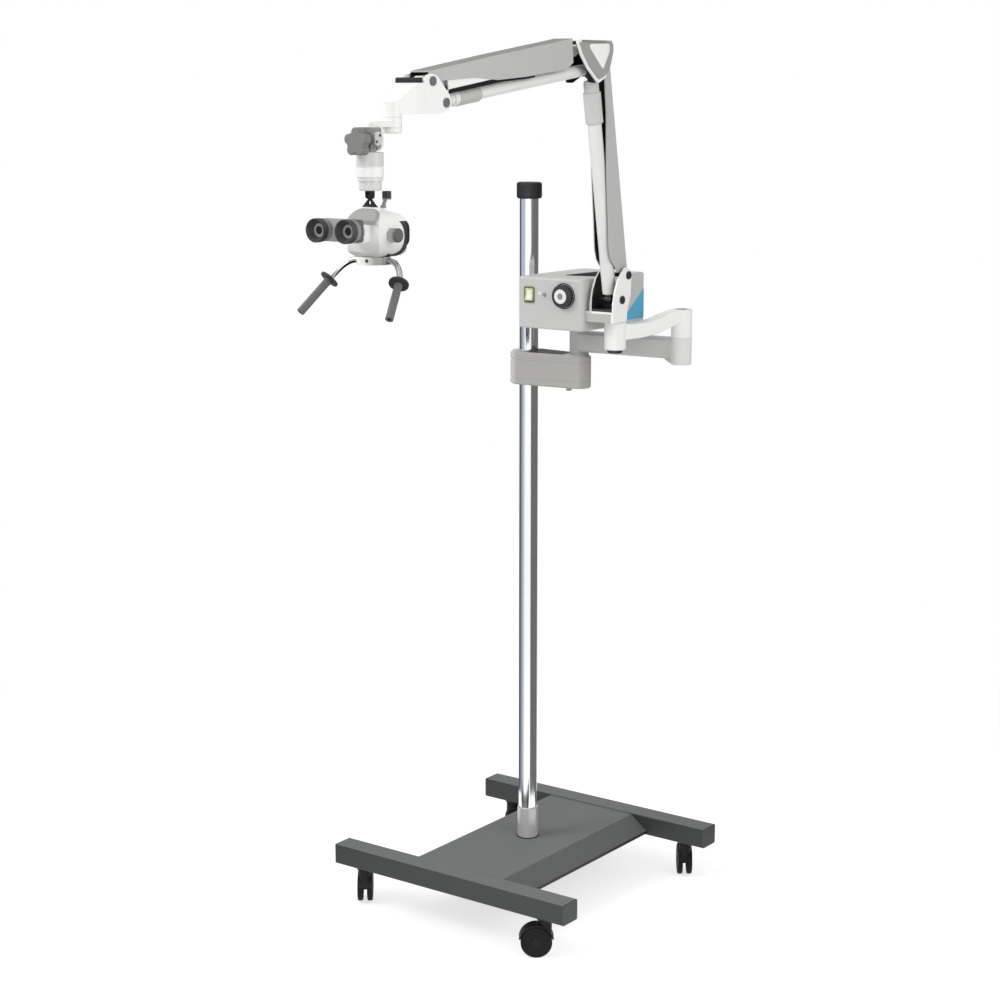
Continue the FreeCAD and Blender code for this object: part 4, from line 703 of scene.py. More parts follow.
def steel():
    return finish("steel", "#c8c9ca", 0.26, metallic=1.0, smear=0.08, edge=0.0004, lines=AXES["x"],
                  line_depth=0.01)


def dark_steel():
    return finish("dark_steel", "#47484a", 0.36, metallic=0.6, grain=0.01, grain_scale=2200.0, drift=0.08,
                  wear=0.25, worn="#8c8c8c")


class MICROSCOPE_OT_stage(Operator):
    """Floor, room light, lamps and camera"""
    bl_idname = "microscope.stage"
    bl_label = "Stage"

    def execute(self, context):
        stage = context.scene.microscope_stage
        context.scene.view_settings.view_transform = "Standard"
        world = context.scene.world or bpy.data.worlds.new("room")
        context.scene.world = world
        tree = blank_tree(world)
        sky = add(tree, "ShaderNodeBackground")
        sky.inputs["Color"].default_value = (1.0, 1.0, 1.0, 1.0)
        feed(tree, sky.inputs["Strength"], blend(tree, self.seen(tree), stage.sky, 1.0))
        feed(tree, add(tree, "ShaderNodeOutputWorld").inputs["Surface"], sky.outputs[0])
        self.flat_card("floor", [(x * FLOOR_HALF, y * FLOOR_HALF, 0.0)
                                 for x, y in ((-1, -1), (1, -1), (1, 1), (-1, 1))], self.floor_finish())
        for card in CARDS:
            self.curved_card(*card)
        self.lamp("key", (-1.6, -2.4, 3.4), (0.2, -0.3, 1.0), 1.8, stage.key)
        self.lamp("fill", (2.6, -0.6, 2.2), (0.3, -0.3, 1.1), 1.6, stage.fill)
        self.lamp("front", (1.4, -3.4, 1.3), (0.3, -0.6, 1.4), 1.6, stage.front)
        ring = [UNDER_HEAD + spoke * UNDER_RADIUS for _, spoke in spokes(AXES["z"], 24)]
        self.glossy_only(self.flat_card("under_card", ring, self.glow("under_card", "#0c0c0c")))
        self.camera(context, stage)
        return {"FINISHED"}

    def camera(self, context, stage):
        camera = bpy.data.cameras.new("camera")
        camera.lens = stage.lens
        camera.sensor_width = 36.0
        eye = add_object("camera", camera)
        turn_by, lean = stage.azimuth, stage.elevation
        level = math.cos(lean)
        back = Vector((math.sin(turn_by) * level, -math.cos(turn_by) * level, math.sin(lean)))
        eye.location = CAMERA_PLACE
        eye.rotation_euler = (-back).to_track_quat("-Z", "Y").to_euler()
        context.scene.camera = eye

    def seen(self, tree):
        """1 for rays that look at the background straight, in a reflection or through glass."""
        path = add(tree, "ShaderNodeLightPath").outputs
        total = maths(tree, "ADD", path["Is Camera Ray"], path["Is Glossy Ray"])
        return maths(tree, "ADD", total, path["Is Transmission Ray"], clamp=True)

    def floor_finish(self):
        """White floor that keeps the soft shadow near the base."""
        material = bpy.data.materials.new("floor")
        tree = blank_tree(material)
        matt = add(tree, "ShaderNodeBsdfDiffuse")
        seen = self.seen(tree)
        feed(tree, matt.inputs["Color"],
             blend(tree, seen, (0.8, 0.8, 0.8, 1.0), (0.5, 0.5, 0.5, 1.0), colour=True))
        glow = add(tree, "ShaderNodeEmission")
        feed(tree, glow.inputs["Strength"], maths(tree, "MULTIPLY", seen, 0.68))
        near = add(tree, "ShaderNodeAddShader")
        feed(tree, near.inputs[0], matt.outputs[0])
        feed(tree, near.inputs[1], glow.outputs[0])
        place = add(tree, "ShaderNodeTexCoord").outputs["Object"]
        reach = spread(tree, vectors(tree, "LENGTH", place), 0.9, 2.2, soft=True)
        mix = add(tree, "ShaderNodeMixShader")
        feed(tree, mix.inputs[0], product(tree, reach, seen))
        feed(tree, mix.inputs[1], near.outputs[0])
        feed(tree, mix.inputs[2], add(tree, "ShaderNodeEmission").outputs[0])
        feed(tree, add(tree, "ShaderNodeOutputMaterial").inputs["Surface"], mix.outputs[0])
        return material

    def glow(self, name, code):
        material = bpy.data.materials.new(name)
        tree = blank_tree(material)
        lit = add(tree, "ShaderNodeEmission")
        lit.inputs["Color"].default_value = opaque(shade(code))
        feed(tree, add(tree, "ShaderNodeOutputMaterial").inputs["Surface"], lit.outputs[0])
        return material

    def flat_card(self, name, corners, material):
        mesh = bmesh.new()
        mesh.faces.new([mesh.verts.new(corner) for corner in corners])
        made = add_object(name, mesh_data(name, mesh, material))
        return made

    def curved_card(self, name, start, end, bottom, top, code):
        """A card round the column that only polished metal sees."""
        mesh = bmesh.new()
        rows = []
        steps = 14
        for i in range(steps + 1):
            angle = math.radians(start + (end - start) * i / steps)
            spot = (CARD_RADIUS * math.cos(angle), CARD_RADIUS * math.sin(angle))
            rows.append([mesh.verts.new((*spot, level)) for level in (bottom, top)])
        for low, high in zip(rows, rows[1:]):
            mesh.faces.new((low[0], high[0], high[1], low[1]))
        made = add_object(name, mesh_data(name, mesh, self.glow(name, code)))
        self.glossy_only(made)

    def glossy_only(self, made):
        """Hides a glowing card from all rays but glossy ones."""
        made.visible_camera = False
        made.visible_diffuse = False
        made.visible_shadow = False
        made.visible_transmission = False

    def lamp(self, name, place, aim, size, power):
        light = bpy.data.lights.new(name, "AREA")
        light.shape = "DISK"
        light.size = size
        light.energy = power
        made = add_object(name, light)
        made.location = place
        made.rotation_euler = (Vector(aim) - Vector(place)).to_track_quat("-Z", "Y").to_euler()


class MICROSCOPE_OT_base(Operator):
    """Rails, deck, end caps and casters"""
    bl_idname = "microscope.base"
    bl_label = "Base and casters"

    def execute(self, context):
        # Painted shadow: the deck's lowest edge darkens to near black for the shadow line under its bevel.
        lip_shade = zone("#141414", fade("z", 99.0, 90.0))
        for name, node, zones in (("powder_coat", "base_rails", ()), ("deck_coat", "deck_plate", [lip_shade])):
            # The even tint on upward faces is painted light: it makes the tops of the rails and deck lighter
            # than their sides. The lighter rubbed edges are partly wear and partly a painted highlight.
            dress(finish(name, colours().base, 0.48, grain=0.08, grain_scale=520.0, cells=0.55, drift=0.05,
                         patch=7.0, edge=0.0016, wear=0.2, worn="#6c6e6d", dust_and_top_shading=0.85, even=0.86,
                         dust_and_top_shading_colour="#818382", zones=zones), node)
        dress(finish("cast_iron", "#3a3a3a", 0.8, grain=0.3, grain_scale=260.0, drift=0.2), "ballast_weight")
        top = zone("#1b1b1b", span("z", 1000.0, 1900.0), roughness=0.5)
        dress(finish("end_cap_plastic", "#4a4c4c", 0.55, grain=0.12, grain_scale=650.0, drift=0.08, wear=0.15,
                     worn="#777777", dust_and_top_shading=0.05, zones=[top]), "end_caps")
        for corner in WHEEL_TURN:
            dress(black_plastic(), "caster_hood_" + corner)
            self.wheels(corner)
        self.seams()
        return {"FINISHED"}

    def wheels(self, corner):
        """Tyres, and a cap over each end of their axle."""
        tyre = finish("tyre_rubber", "#0b0b0b", 0.7, grain=0.05, drift=0.15, smear=0.12, wear=0.15,
                      worn="#2c2b2a", dust_and_top_shading=0.03, specular=0.3)
        dress(tyre, "caster_wheels_" + corner)
        low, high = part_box("caster_wheels_" + corner)
        centre = (low + high) / 2 / MM
        turn_by = math.radians(WHEEL_TURN[corner])
        way = Vector((-math.sin(turn_by), math.cos(turn_by), 0))
        mesh = bmesh.new()
        for side in (-1, 1):
            turn(mesh, [(8.6, 14.2), (8.6, 15.9), (7.6, 16.6), (3.4, 16.9), (3.0, 16.2), (0.0, 16.2)],
                 centre, way * side, 32)
        settle("hub_cap_" + corner, mesh, black_plastic(), "wheels_" + corner)

    def seams(self):
        """Weld beads where the deck meets the rails."""
        bead = finish("weld_bead", "#5a5c5b", 0.55, grain=0.2, grain_scale=420.0, drift=0.1)
        half, steps, facets = 110.0, 90, 5
        mesh = bmesh.new()
        for side in (-1, 1):
            rings = []
            for i in range(steps + 1):
                x = -half + 2 * half * i / steps
                swell = 1.9 + 0.25 * math.sin(i * 2.1) + 0.15 * math.sin(i * 0.7)
                row = []
                for k in range(facets + 1):
                    angle = math.pi * k / facets
                    row.append(mesh.verts.new(mm(
                        x, side * DECK_HALF - side * swell * math.cos(angle / 2) ** 2 * 1.3,
                        DECK_TOP + swell * math.sin(angle / 2) * 1.2)))
                rings.append(row)
            for first, second in zip(rings, rings[1:]):
                for k in range(facets):
                    mesh.faces.new((first[k], first[k + 1], second[k + 1], second[k]))
        settle("deck_welds", mesh, bead, "base", 60.0)


class MICROSCOPE_OT_column(Operator):
    """Polished column and its satin socket"""
    bl_idname = "microscope.column"
    bl_label = "Column"

    def execute(self, context):
        foot = zone("#d6d6d4", span("z", *SOCKET), roughness=0.3, metallic=0.45)
        dress(finish("chrome", "#f8fafc", 0.1, metallic=1.0, drift=0.012, smear=0.03, edge=0.0005,
                     lines=AXES["z"], line_depth=0.004, line_scale=500.0, zones=[foot]), "column_tube")
        screws("socket_screws", [(-22.4, 0, 165)], (-1, 0, 0), 2.0, 0.7, 1.1, dark_steel(), "base")
        turned_piece("socket_gasket", [(22.6, 126.0), (24.4, 126.0), (24.2, 127.2), (22.6, 127.6)], (0, 0, 0),
                     AXES["z"], black_plastic(), "base", 72)
        return {"FINISHED"}


class MICROSCOPE_OT_extension_arms(Operator):
    """Height clamp and the two horizontal arms"""
    bl_idname = "microscope.extension_arms"
    bl_label = "Clamp and extension arms"

    def execute(self, context):
        zones = [zone("#9a9a96", span("z", level, level + 0.9)) for level in (1149.0, 1188.0)]
        # Painted light and shade: the left end lightens where light falls, and the dark strip along the top
        # is a painted shadow between the clamp and the arm above it.
        zones += [zone("#d4d2ce", fade("x", -4.0, -20.0)),
                  zone("#1a1a1a", span("z", CLAMP_TOP - 0.6, CLAMP_TOP + 9.0), span("x", 10.0, 104.0),
                       roughness=0.85)]
        dress(finish("clamp_paint", colours().clamp, 0.42, grain=0.05, grain_scale=600.0, cells=0.3,
                     edge=0.0012, wear=0.2, worn="#dededa", dust_and_top_shading=0.08, coat=0.1, zones=zones), "clamp_body")
        dress(steel(), "clamp_screws")
        hub = zone("#e2e2e0", (drum, (*ELBOW, 0), AXES["z"], 21.3))
        # Painted shadow: the arm darkens towards its inner end, where it lies in shade under the control box.
        root_shadow = zone("#989896", fade("x", 225.0, 110.0))
        dress(finish("arm_paint", colours().arm, 0.42, grain=0.05, grain_scale=600.0, cells=0.3, drift=0.04,
                     edge=0.0012, wear=0.15, worn="#c8c8c4", dust_and_top_shading=0.08, coat=0.1, zones=[hub, root_shadow]),
              "lower_extension_arm")
        dress(white_paint(), "upper_extension_arm")
        turned_piece("hub_plug", [(11.0, 0.0), (11.0, 0.5), (10.4, 0.9), (8.5, 1.0), (8.0, 0.6), (0.0, 0.6)],
                     (*ELBOW, 1312), AXES["z"], trim_plastic(), "arm_c")
        turned_piece("pivot_plug", [(9.5, 0.0), (9.5, -0.8), (8.8, -1.4), (0.0, -1.4)],
                     (*ELBOW, 1201), AXES["z"], black_plastic(), "arm_b")
        turned_piece("clamp_foot_plug", [(5.4, 0.0), (5.4, -0.7), (4.8, -1.2), (0.0, -1.2)],
                     (103, 0, 1128), AXES["z"], black_plastic(), "clamp")
        return {"FINISHED"}


class MICROSCOPE_OT_control_box(Operator):
    """Turret bracket and the control box beside it"""
    bl_idname = "microscope.control_box"
    bl_label = "Control box"

    def execute(self, context):
        near_box = zone("#cbcbc8", span("x", ARM_X - 60.0, ARM_X - 24.2))
        foot = zone("#b9b9b6", span("x", ARM_X - 60.0, ARM_X + 22.0), span("z", 1299.0, 1317.0))
        # Painted shade: this zone colours the faces within the bracket black for the shade between its
        # plates.
        recess_shade = zone("#0e0e0e", middle(24.3), span("y", -197.5, 202.5), span("z", 1320.6, 1720.6),
                      roughness=0.6)
        dress(white_paint("bracket_paint", near_box, foot, recess_shade), "turret_bracket")
        dress(dark_steel(), "bracket_pins")
        dress(finish("housing_shell", colours().housing, 0.46, grain=0.06, grain_scale=1100.0, cells=0.6,
                     drift=0.02, smear=0.05, wear=0.08, worn="#f0f0ee", dust_and_top_shading=0.05), "control_housing")
        dress(finish("raw_aluminium", "#b9bbbd", 0.35, metallic=1.0, lines=AXES["y"], line_depth=0.02),
              "power_supply")
        dress(finish("rocker_frame", "#6b7248", 0.34, grain=0.02, grain_scale=1500.0, drift=0.1, coat=0.3),
              "rocker_bezel")
        x, z = ROCKER
        lit = zone("#eef2dc", span("z", z - 8.6, z + 8.6), span("x", x - 5.4, x + 5.4), roughness=0.2)
        dress(finish("rocker_lens", "#c9d3a8", 0.22, drift=0.06, coat=0.6, coat_roughness=0.05, zones=[lit]),
              "power_rocker")
        dress(black_plastic(), "power_inlet")
        dress(finish("button_plastic", "#8d8d8b", 0.4, grain=0.02, grain_scale=1500.0, drift=0.05),
              "select_button")
        face = span("y", HOUSING_FRONT - 20.0, HOUSING_FRONT - 10.4)
        dress(finish("knob_plastic", "#262626", 0.45, grain=0.04, grain_scale=1400.0, drift=0.1, wear=0.15,
                     worn="#5c5c5c", zones=[
                         zone("#e6e6e4", (drum, DIAL, AXES["y"], 14.1), face, roughness=0.3),
                         zone("#8b8b8b", (drum, DIAL, AXES["y"], 6.1), face, roughness=0.35)]),
              "dimmer_knob")
        self.covers()
        self.dial()
        self.rear()
        return {"FINISHED"}

    def covers(self):
        """Black pad on top, blue triangle on the right side and the small lamp in front."""
        pad = finish("pad_rubber", "#0c0c0c", 0.75, grain=0.08, grain_scale=700.0, drift=0.12, specular=0.2)
        plate("box_top_pad", [(193, -146), (261, -129), (255, -118), (201, -38)], "z", HOUSING_TOP,
              HOUSING_TOP + sizes().pad / MM, pad, "turret", 2.0, 0.3)
        film = finish("accent_film", colours().accent, 0.32, grain=0.01, grain_scale=1600.0, coat=0.4)
        plate("side_accent", [(13.0, 1350.0), (13.0, 1290.0), (-66.0, 1290.0)], "x", HOUSING_RIGHT,
              HOUSING_RIGHT + 0.6, film, "turret", 1.5, 0.15)
        lens = finish("lamp_lens", "#f4f4f0", 0.18, drift=0.02, coat=0.6, coat_roughness=0.04)
        dome = [(3.6, 0.0), (3.6, 0.5), (3.1, 0.9), (2.6, 0.9), (2.4, 1.5), (1.6, 2.2), (0.8, 2.5),
                (0.0, 2.6)]
        turned_piece("status_lamp", dome, (175.5, HOUSING_FRONT, 1349.5), (0, -1, 0), lens, "turret",
                     32)

    def dial(self):
        """Dark collar and tick marks round the dimmer knob."""
        collar = finish("knob_collar", "#1d1d1d", 0.45, grain=0.02, grain_scale=1500.0)
        turned_piece("knob_collar", [(25.5, 0.0), (25.5, 0.15), (24.8, 0.2), (23.2, 0.2), (23.2, 0.0)], DIAL,
                     (0, -1, 0), collar, "turret", 80)
        ticks = bmesh.new()
        centre = Vector((DIAL[0], DIAL[2]))
        for i in range(11):
            angle = math.radians(-140 + 28 * i)
            way = Vector((math.sin(angle), math.cos(angle)))
            side = Vector((way[1], -way[0]))
            line = [centre + way * (28.2 + a) + side * b
                    for a, b in ((-1.2, -0.25), (1.2, -0.25), (1.2, 0.25), (-1.2, 0.25))]
            slice_up(ticks, line, "y", HOUSING_FRONT + 0.05, HOUSING_FRONT - 0.12, 0.0)
        settle("knob_scale", ticks, finish("print_grey", "#9a9a9a", 0.5, drift=0.05), "turret")

    def rear(self):
        """Louvres and screws on the back and under the box."""
        louvres = bmesh.new()
        half, low, high = 1.2, 1352, 1372
        for i in range(9):
            x = 222.0 + 5.0 * i
            line = rounded_outline([(x - half, low), (x + half, low), (x + half, high), (x - half, high)],
                                   1.1, 4)
            slice_up(louvres, line, "y", HOUSING_REAR - 0.1, HOUSING_REAR + 0.4, 0.15)
        settle("rear_louvres", louvres, black_plastic(), "turret")
        screws("inlet_screws", [(x, HOUSING_REAR, 1318.0) for x in (170.5, 229.5)], AXES["y"], 2.4, 1.2, 1.2,
               steel(), "turret")
        screws("base_plate_screws", [(x, y, HOUSING_BOTTOM) for x in (136, 264) for y in (-197, 6)],
               (0, 0, -1), 2.6, 0.9, 1.2, steel(), "turret")


def guide_rod(name, colour, low, high, first_eye, *zones):
    """Paint of a guide rod with a dark eye at each end."""
    origin = (ARM_X, *low)
    way = (0.0, high[0] - low[0], high[1] - low[1])
    reach = math.hypot(way[1], way[2])
    eyes = [zone("#1d1d1d", (slab, origin, way, start, end), roughness=0.5)
            for start, end in ((-20.0, first_eye), (reach - 10.9, reach + 20.0))]
    return tube_paint(name, colour, *zones, *eyes)


class MICROSCOPE_OT_lower_link(Operator):
    """Lower parallel link: channel, guide tube and sleeve"""
    bl_idname = "microscope.lower_link"
    bl_label = "Lower link"

    def execute(self, context):
        way = (0.0, LOWER_PIN_HIGH[0] - LOWER_PIN_LOW[0], LOWER_PIN_HIGH[1] - LOWER_PIN_LOW[1])
        dress(cover_with_painted_shade("lower_channel_plastic", 16.05, LOWER_COVER_LOW, way, -10.75), "lower_link_channel")
        dress(guide_rod("lower_tube_paint", "#e6e6e4", LOWER_PIN_LOW, LOWER_PIN_HIGH, 10.9),
              "lower_guide_rod")
        dress(finish("sleeve_plastic", "#cbcbc9", 0.55, grain=0.12, grain_scale=800.0, drift=0.06, wear=0.1),
              "lower_sleeve")
        return {"FINISHED"}


class MICROSCOPE_OT_knuckle(Operator):
    """Knuckle over the two links, with its white rims and insets"""
    bl_idname = "microscope.knuckle"
    bl_label = "Knuckle"

    def execute(self, context):
        dress(black_plastic(), "knuckle_core")
        top = zone("#8f8f8d", span("z", 1830.3, 1850.3), span("y", -320.0, -120.0))
        front = zone("#a9a9a7", span("y", -236.0, -136.0))
        dress(rim_plastic("rim_two_tone", top, front), "knuckle_rims")
        dress(trim_plastic(), "knuckle_faces")
        line = [(-302.0, 1827.5), (-229.5, 1829.5), (-229.0, 1815.0), (-250.0, 1781.0)]
        thick = sizes().inset / MM
        for name, side in SIDES:
            plate("knuckle_inset_" + name, line, "x", ARM_X + side * 32.1, ARM_X + side * (32.2 + thick),
                  rim_plastic(), "knuckle", 6.0, 0.35, 0.2)
        return {"FINISHED"}


class MICROSCOPE_OT_upper_link(Operator):
    """Upper parallel link: bar, long cover and guide tube"""
    bl_idname = "microscope.upper_link"
    bl_label = "Upper link"

    def execute(self, context):
        way = (0.0, UPPER_PIN_FRONT[0] - UPPER_PIN_REAR[0], UPPER_PIN_FRONT[1] - UPPER_PIN_REAR[1])
        dress(cover_with_painted_shade("upper_cover_plastic", 19.05, UPPER_COVER_REAR, way, -14.6), "upper_link_cover")
        dress(white_paint(), "upper_link_bar")
        sleeve = zone("#bcbcba", (slab, (ARM_X, *UPPER_PIN_REAR), way, 345.9, 408.1), roughness=0.6)
        dress(guide_rod("upper_tube_paint", "#ececea", UPPER_PIN_REAR, UPPER_PIN_FRONT, 12.9, sleeve),
              "upper_guide_rod")
        # Painted shade: a black strip under each side of the cover stands for the shade between the cover's
        # lower edge and the guide tube.
        shade_strip = finish("shade_strip_black", "#0a0a0a", 0.7, grain=0.05, drift=0.1, specular=0.25)
        skirt = [beside(UPPER_COVER_REAR, UPPER_COVER_FRONT, *spot)
                 for spot in ((172, 6), (416, 1), (416, 20.8), (254, 19.2), (200, 21.4))]
        band = [beside(UPPER_COVER_REAR, UPPER_COVER_FRONT, *spot)
                for spot in ((160, 23.0), (200, 21.0), (254, 18.6), (412, 20.2), (413, 27.6), (254, 26.8),
                             (226, 28.6), (190, 30.4), (160, 31.4))]
        for name, side in SIDES:
            plate("cover_skirt_" + name, skirt, "x", ARM_X + side * 19.3, ARM_X + side * 16.6, white_paint(),
                  "upper_arm", 1.0, 0.2)
            plate("cover_shade_strip_" + name, band, "x", ARM_X + side * 19.35, ARM_X + side * 15.8, shade_strip,
                  "upper_arm", 0.8, 0.3)
        return {"FINISHED"}


class MICROSCOPE_OT_carriage(Operator):
    """Front carriage and the swing link under it"""
    bl_idname = "microscope.carriage"
    bl_label = "Carriage and swing link"

    def execute(self, context):
        dress(white_paint(), "front_carriage", "swing_link")
        # Painted shade: the rear end of the carriage trim is coloured near black for the shadow under the
        # cover's front overhang.
        rear = zone("#151515", span("y", -820.0, -779.5), roughness=0.55)
        dress(finish("carriage_trim", "#66676a", 0.4, metallic=0.3, grain=0.02, grain_scale=1500.0,
                     drift=0.08, wear=0.2, zones=[rear]), "carriage_pins")
        return {"FINISHED"}


class MICROSCOPE_OT_hanging_joint(Operator):
    """Tilt block, star knob, barrel and rotor over the head"""
    bl_idname = "microscope.hanging_joint"
    bl_label = "Hanging joint"

    def execute(self, context):
        # Painted shade: the barrel's lower band is greyer for the shade across it.
        barrel = zone("#d2d2d0", span("z", 1620.6, 1644.5))
        block = zone("#8d8d8b", span("z", 1644.5, 1704.5), roughness=0.5)
        boss = zone("#c9c9c7", span("x", ARM_X + 23.4, ARM_X + 28.4), roughness=0.4)
        dress(smooth_paint("barrel_paint", barrel, block, boss), "hanging_barrel")
        # Painted shade: the rotor's upper and lower bands are greyer for the shade on them.
        lip_shade = zone("#dededc", span("z", 1596.0, 1604.4))
        skirt = zone("#d9d9d7", span("z", 1580.0, 1595.9))
        dress(smooth_paint("rotor_paint", lip_shade, skirt), "barrel_rotor")
        dress(finish("star_plastic", "#7c7c7a", 0.58, grain=0.16, grain_scale=620.0, drift=0.08, wear=0.15,
                     worn="#a9a9a7"), "tilt_star_knob")
        dress(black_plastic(), "yoke", "head_bracket")
        screws("boss_screws", [(338.0, -907.0, 1661.0), (338.0, -898.5, 1671.5)], AXES["x"], 2.5, 0.8, 1.3,
               dark_steel(), "hanger")
        return {"FINISHED"}


class MICROSCOPE_OT_head(Operator):
    """Microscope head, lens ring, rear cap and small controls"""
    bl_idname = "microscope.head"
    bl_label = "Head"

    def execute(self, context):
        # Painted shade: the head turns greyer towards its bottom.
        lower = zone("#cbcbc9", fade("z", 1512.0, 1474.0))
        wrap = zone("#141414", (beyond, *HEAD_RIM), (drum, (ARM_X, -875.5, 1504.5), AXES["x"], 36.5),
                    span("y", -890.0, -790.0), span("z", 1400.0, 1530.0), roughness=0.55)
        back = zone("#141414", (beyond, *HEAD_RIM), span("y", -880.0, -780.0), span("z", 1486.0, 1530.0),
                    roughness=0.55)
        dress(white_paint("head_paint", lower, wrap, back), "head_body")
        # Painted shade: the lens ring darkens towards its right side.
        dress(finish("ring_paint", colours().white, 0.36, grain=0.02, drift=0.02, coat=0.2, zones=[
            zone("#a2a2a0", fade("x", ARM_X + 2.0, ARM_X + 22.0))]), "lens_ring")
        dress(trim_plastic(), "head_top_cover")
        dress(finish("drum_plastic", "#b4b4b2", 0.5, grain=0.04, grain_scale=1200.0, drift=0.05, zones=[
            zone("#575755", fade("x", ARM_X + 43.0, ARM_X + 53.0))]), "magnification_knob")
        dress(finish("lever_plastic", "#262626", 0.5, grain=0.04, grain_scale=1300.0, drift=0.1, wear=0.2,
                     worn="#6a6a68", zones=[zone("#90908a", span("z", 1540.0, 1567.0))]), "focus_lever")
        dress(black_plastic(), "lamp_unit", "incline_hub")
        left, right, low, high = ARM_X - 33.6, ARM_X + 33.6, 1486.0, 1531.0
        rear = [(left, low), (right, low), (right, high), (left, high)]
        plate("rear_bumper", rear, "y", -843.3, -833.6, black_plastic(), "head", 16.0, 1.6)
        dress(self.glass(), "objective_lens")
        screws("ring_screw", [(321.2, -915.9, 1466.2)], (0.26, -0.966, 0), 2.9, 0.7, 1.6, dark_steel(),
               "head")
        return {"FINISHED"}

    def glass(self):
        """Coated glass of the objective."""
        material = bpy.data.materials.new("objective_glass")
        material.use_nodes = True
        tree = material.node_tree
        shader = tree.nodes["Principled BSDF"]
        place = add(tree, "ShaderNodeTexCoord").outputs["Object"]
        tone = effect(tree, "tone_drift", Place=place, Color=opaque(shade("#cfd6f2")), Drift=0.03,
                      Roughness=0.03, Roughness_Drift=0.01)
        feed(tree, shader.inputs["Base Color"], tone["Color"])
        feed(tree, shader.inputs["Roughness"], tone["Roughness"])
        shader.inputs["Transmission Weight"].default_value = 1.0
        shader.inputs["IOR"].default_value = 1.5
        return material


class MICROSCOPE_OT_binocular(Operator):
    """Binocular bridge, eyepieces and eyecups"""
    bl_idname = "microscope.binocular"
    bl_label = "Binocular tube"

    def execute(self, context):
        shadow = zone("#5c5c5a", span("x", ARM_X + 25.0, ARM_X + 65.0))
        dress(finish("bridge_plastic", "#aaaaa8", 0.5, grain=0.05, grain_scale=1200.0, cells=0.6, drift=0.05,
                     wear=0.1, worn="#bdbdb9", zones=[shadow]), "binocular_bridge")
        for name, x in EYES:
            self.eyepiece(name, (x, EYE_FACE, EYE_Z))
            self.cup(name, (x, EYE_FACE, EYE_Z))
        return {"FINISHED"}

    def eyepiece(self, name, centre):
        """Stepped barrel with a grey ring and a black pupil."""
        ring = zone("#989896", (drum, centre, AXES["y"], 11.7), (slab, centre, AXES["y"], -9.0, 6.9),
                    roughness=0.45)
        pupil = zone("#020202", (drum, centre, AXES["y"], 6.7), (slab, centre, AXES["y"], -9.0, 8.0),
                     roughness=0.5)
        barrel = finish("eyepiece_barrel_" + name, "#8a8a88", 0.45, grain=0.04, grain_scale=1400.0,
                        drift=0.12, patch=90.0, specular=0.3, zones=[ring, pupil])
        profile = [(0.0, -16.8), (18.1, -16.8), (18.5, -16.4), (18.5, -7.5), (18.0, -7.0), (11.5, -7.0),
                   (11.5, -5.0), (11.2, -4.4), (6.9, -4.4), (6.6, -5.0), (5.0, -4.7), (2.6, -4.3),
                   (0.0, -4.2)]
        piece = turned_piece("eyepiece_" + name, profile, centre, (0, -1, 0), barrel, "eye_" + name,
                             72)
        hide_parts("eyepiece_tube_" + name)

    def cup(self, name, centre):
        """Moulded rubber cup with rings on its funnel face."""
        rubber = finish("cup_rubber", "#3b3b3b", 0.62, grain=0.06, grain_scale=1300.0, drift=0.08, wear=0.15,
                        worn="#6a6a68")
        profile = [(11.7, -6.5), (11.7, -4.6), (12.1, -4.2)]
        inner, reach, rings = 12.5, 5.4, sizes().ridges
        width = reach / rings
        for i in range(rings):
            start = inner + reach * i / rings
            level = -3.8 + 1.75 * (start - inner)
            profile += [(start, level), (start + width * 0.2, level + 0.95 * width),
                        (start + width * 0.75, level + 1.5 * width)]
        profile += [(18.2, 6.4), (18.8, 7.0), (19.3, 6.7), (19.7, 5.8), (19.8, 4.0), (19.2, 2.6), (19.2, 1.4),
                    (19.7, 0.4), (19.7, -1.2), (19.1, -2.2), (19.1, -3.4), (19.6, -4.4), (19.4, -6.2),
                    (18.6, -6.6), (11.7, -6.6)]
        piece = turned_piece("cup_" + name, profile, centre, (0, -1, 0), rubber, "cup_" + name,
                             72, 50.0)
        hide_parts("eyecup_" + name)


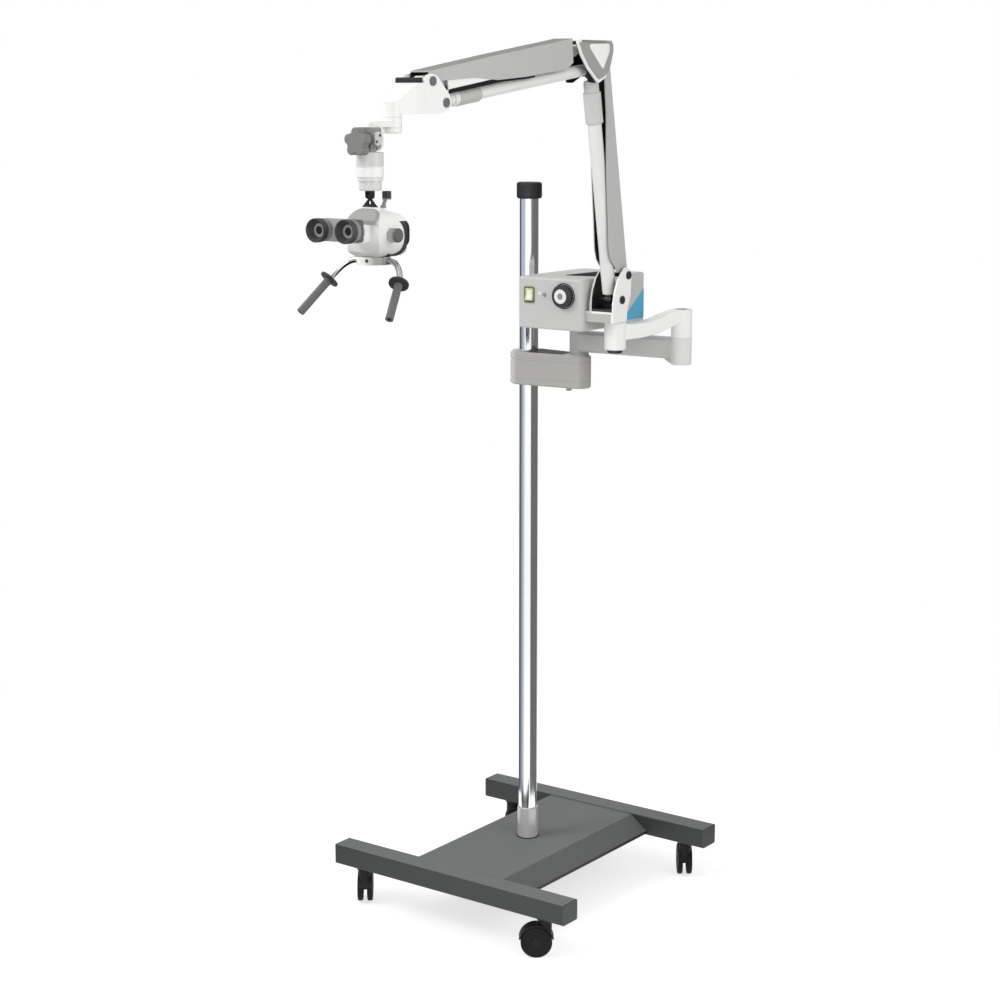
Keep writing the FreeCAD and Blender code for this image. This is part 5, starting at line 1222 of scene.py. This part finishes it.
class MICROSCOPE_OT_handles(Operator):
    """Bent handle bars, guard discs and grips"""
    bl_idname = "microscope.handles"
    bl_label = "Handles"

    def execute(self, context):
        dress(finish("handle_steel", "#b9bab8", 0.13, metallic=1.0, smear=0.04, edge=0.0003),
              "handle_bar_left", "handle_bar_right")
        plug = finish("plug_rubber", "#2b2b2b", 0.6, grain=0.05, drift=0.1)
        for name, side in SIDES:
            lean = Vector((side * GRIP_WAY.x, GRIP_WAY.y, GRIP_WAY.z))
            base = Vector((ARM_X + side * 74.5, -915.0, 1433.0))
            grip = finish("grip_rubber_" + name, colours().rubber, 0.62, grain=0.02, cells=0.4, drift=0.04,
                          edge=0.001, zones=[zone("#393939", (slab, base, lean, -6.0, 4.2))])
            dress(grip, "grip_" + name)
            turned_piece("grip_plug_" + name, [(6.6, -0.2), (6.5, 0.1), (6.1, 0.35), (3.0, 0.4), (0.0, 0.4)],
                         base + lean * 77.6, lean, plug, "handle_" + name, 40)
            rings = bmesh.new()
            for i in range(3):
                level = 5.0 + 2.4 * i
                turn(rings, [(6.7, level - 0.8), (7.2, level - 0.4), (7.2, level + 0.4), (6.7, level + 0.8)],
                     base, lean, 40)
            settle("grip_rings_" + name, rings, grip, "handle_" + name)
        return {"FINISHED"}


STEPS = (MICROSCOPE_OT_stage, MICROSCOPE_OT_base, MICROSCOPE_OT_column, MICROSCOPE_OT_extension_arms,
         MICROSCOPE_OT_control_box, MICROSCOPE_OT_lower_link, MICROSCOPE_OT_knuckle, MICROSCOPE_OT_upper_link,
         MICROSCOPE_OT_carriage, MICROSCOPE_OT_hanging_joint, MICROSCOPE_OT_head, MICROSCOPE_OT_binocular,
         MICROSCOPE_OT_handles)


class MICROSCOPE_PT_sidebar(Panel):
    """Lists the steps and settings of the microscope"""
    bl_idname = "MICROSCOPE_PT_sidebar"
    bl_label = "Surgical Microscope"
    bl_space_type = "VIEW_3D"
    bl_region_type = "UI"
    bl_category = "Microscope"

    def draw(self, context):
        layout = self.layout
        for step in STEPS:
            layout.operator(step.bl_idname)
        for group in (context.scene.microscope_colours, context.scene.microscope_sizes,
                      context.scene.microscope_stage):
            box = layout.box()
            for name in group.__annotations__:
                box.prop(group, name)


CLASSES = (MicroscopeColours, MicroscopeSizes, MicroscopeStage) + STEPS + (MICROSCOPE_PT_sidebar,)


def register():
    for item in CLASSES:
        bpy.utils.register_class(item)
    bpy.types.Scene.microscope_colours = PointerProperty(type=MicroscopeColours)
    bpy.types.Scene.microscope_sizes = PointerProperty(type=MicroscopeSizes)
    bpy.types.Scene.microscope_stage = PointerProperty(type=MicroscopeStage)


def unregister():
    del bpy.types.Scene.microscope_stage
    del bpy.types.Scene.microscope_sizes
    del bpy.types.Scene.microscope_colours
    for item in reversed(CLASSES):
        bpy.utils.unregister_class(item)


def main():
    register()
    for step in STEPS:
        group, name = step.bl_idname.split(".")
        getattr(getattr(bpy.ops, group), name)()


if __name__ == "__main__":
    main()
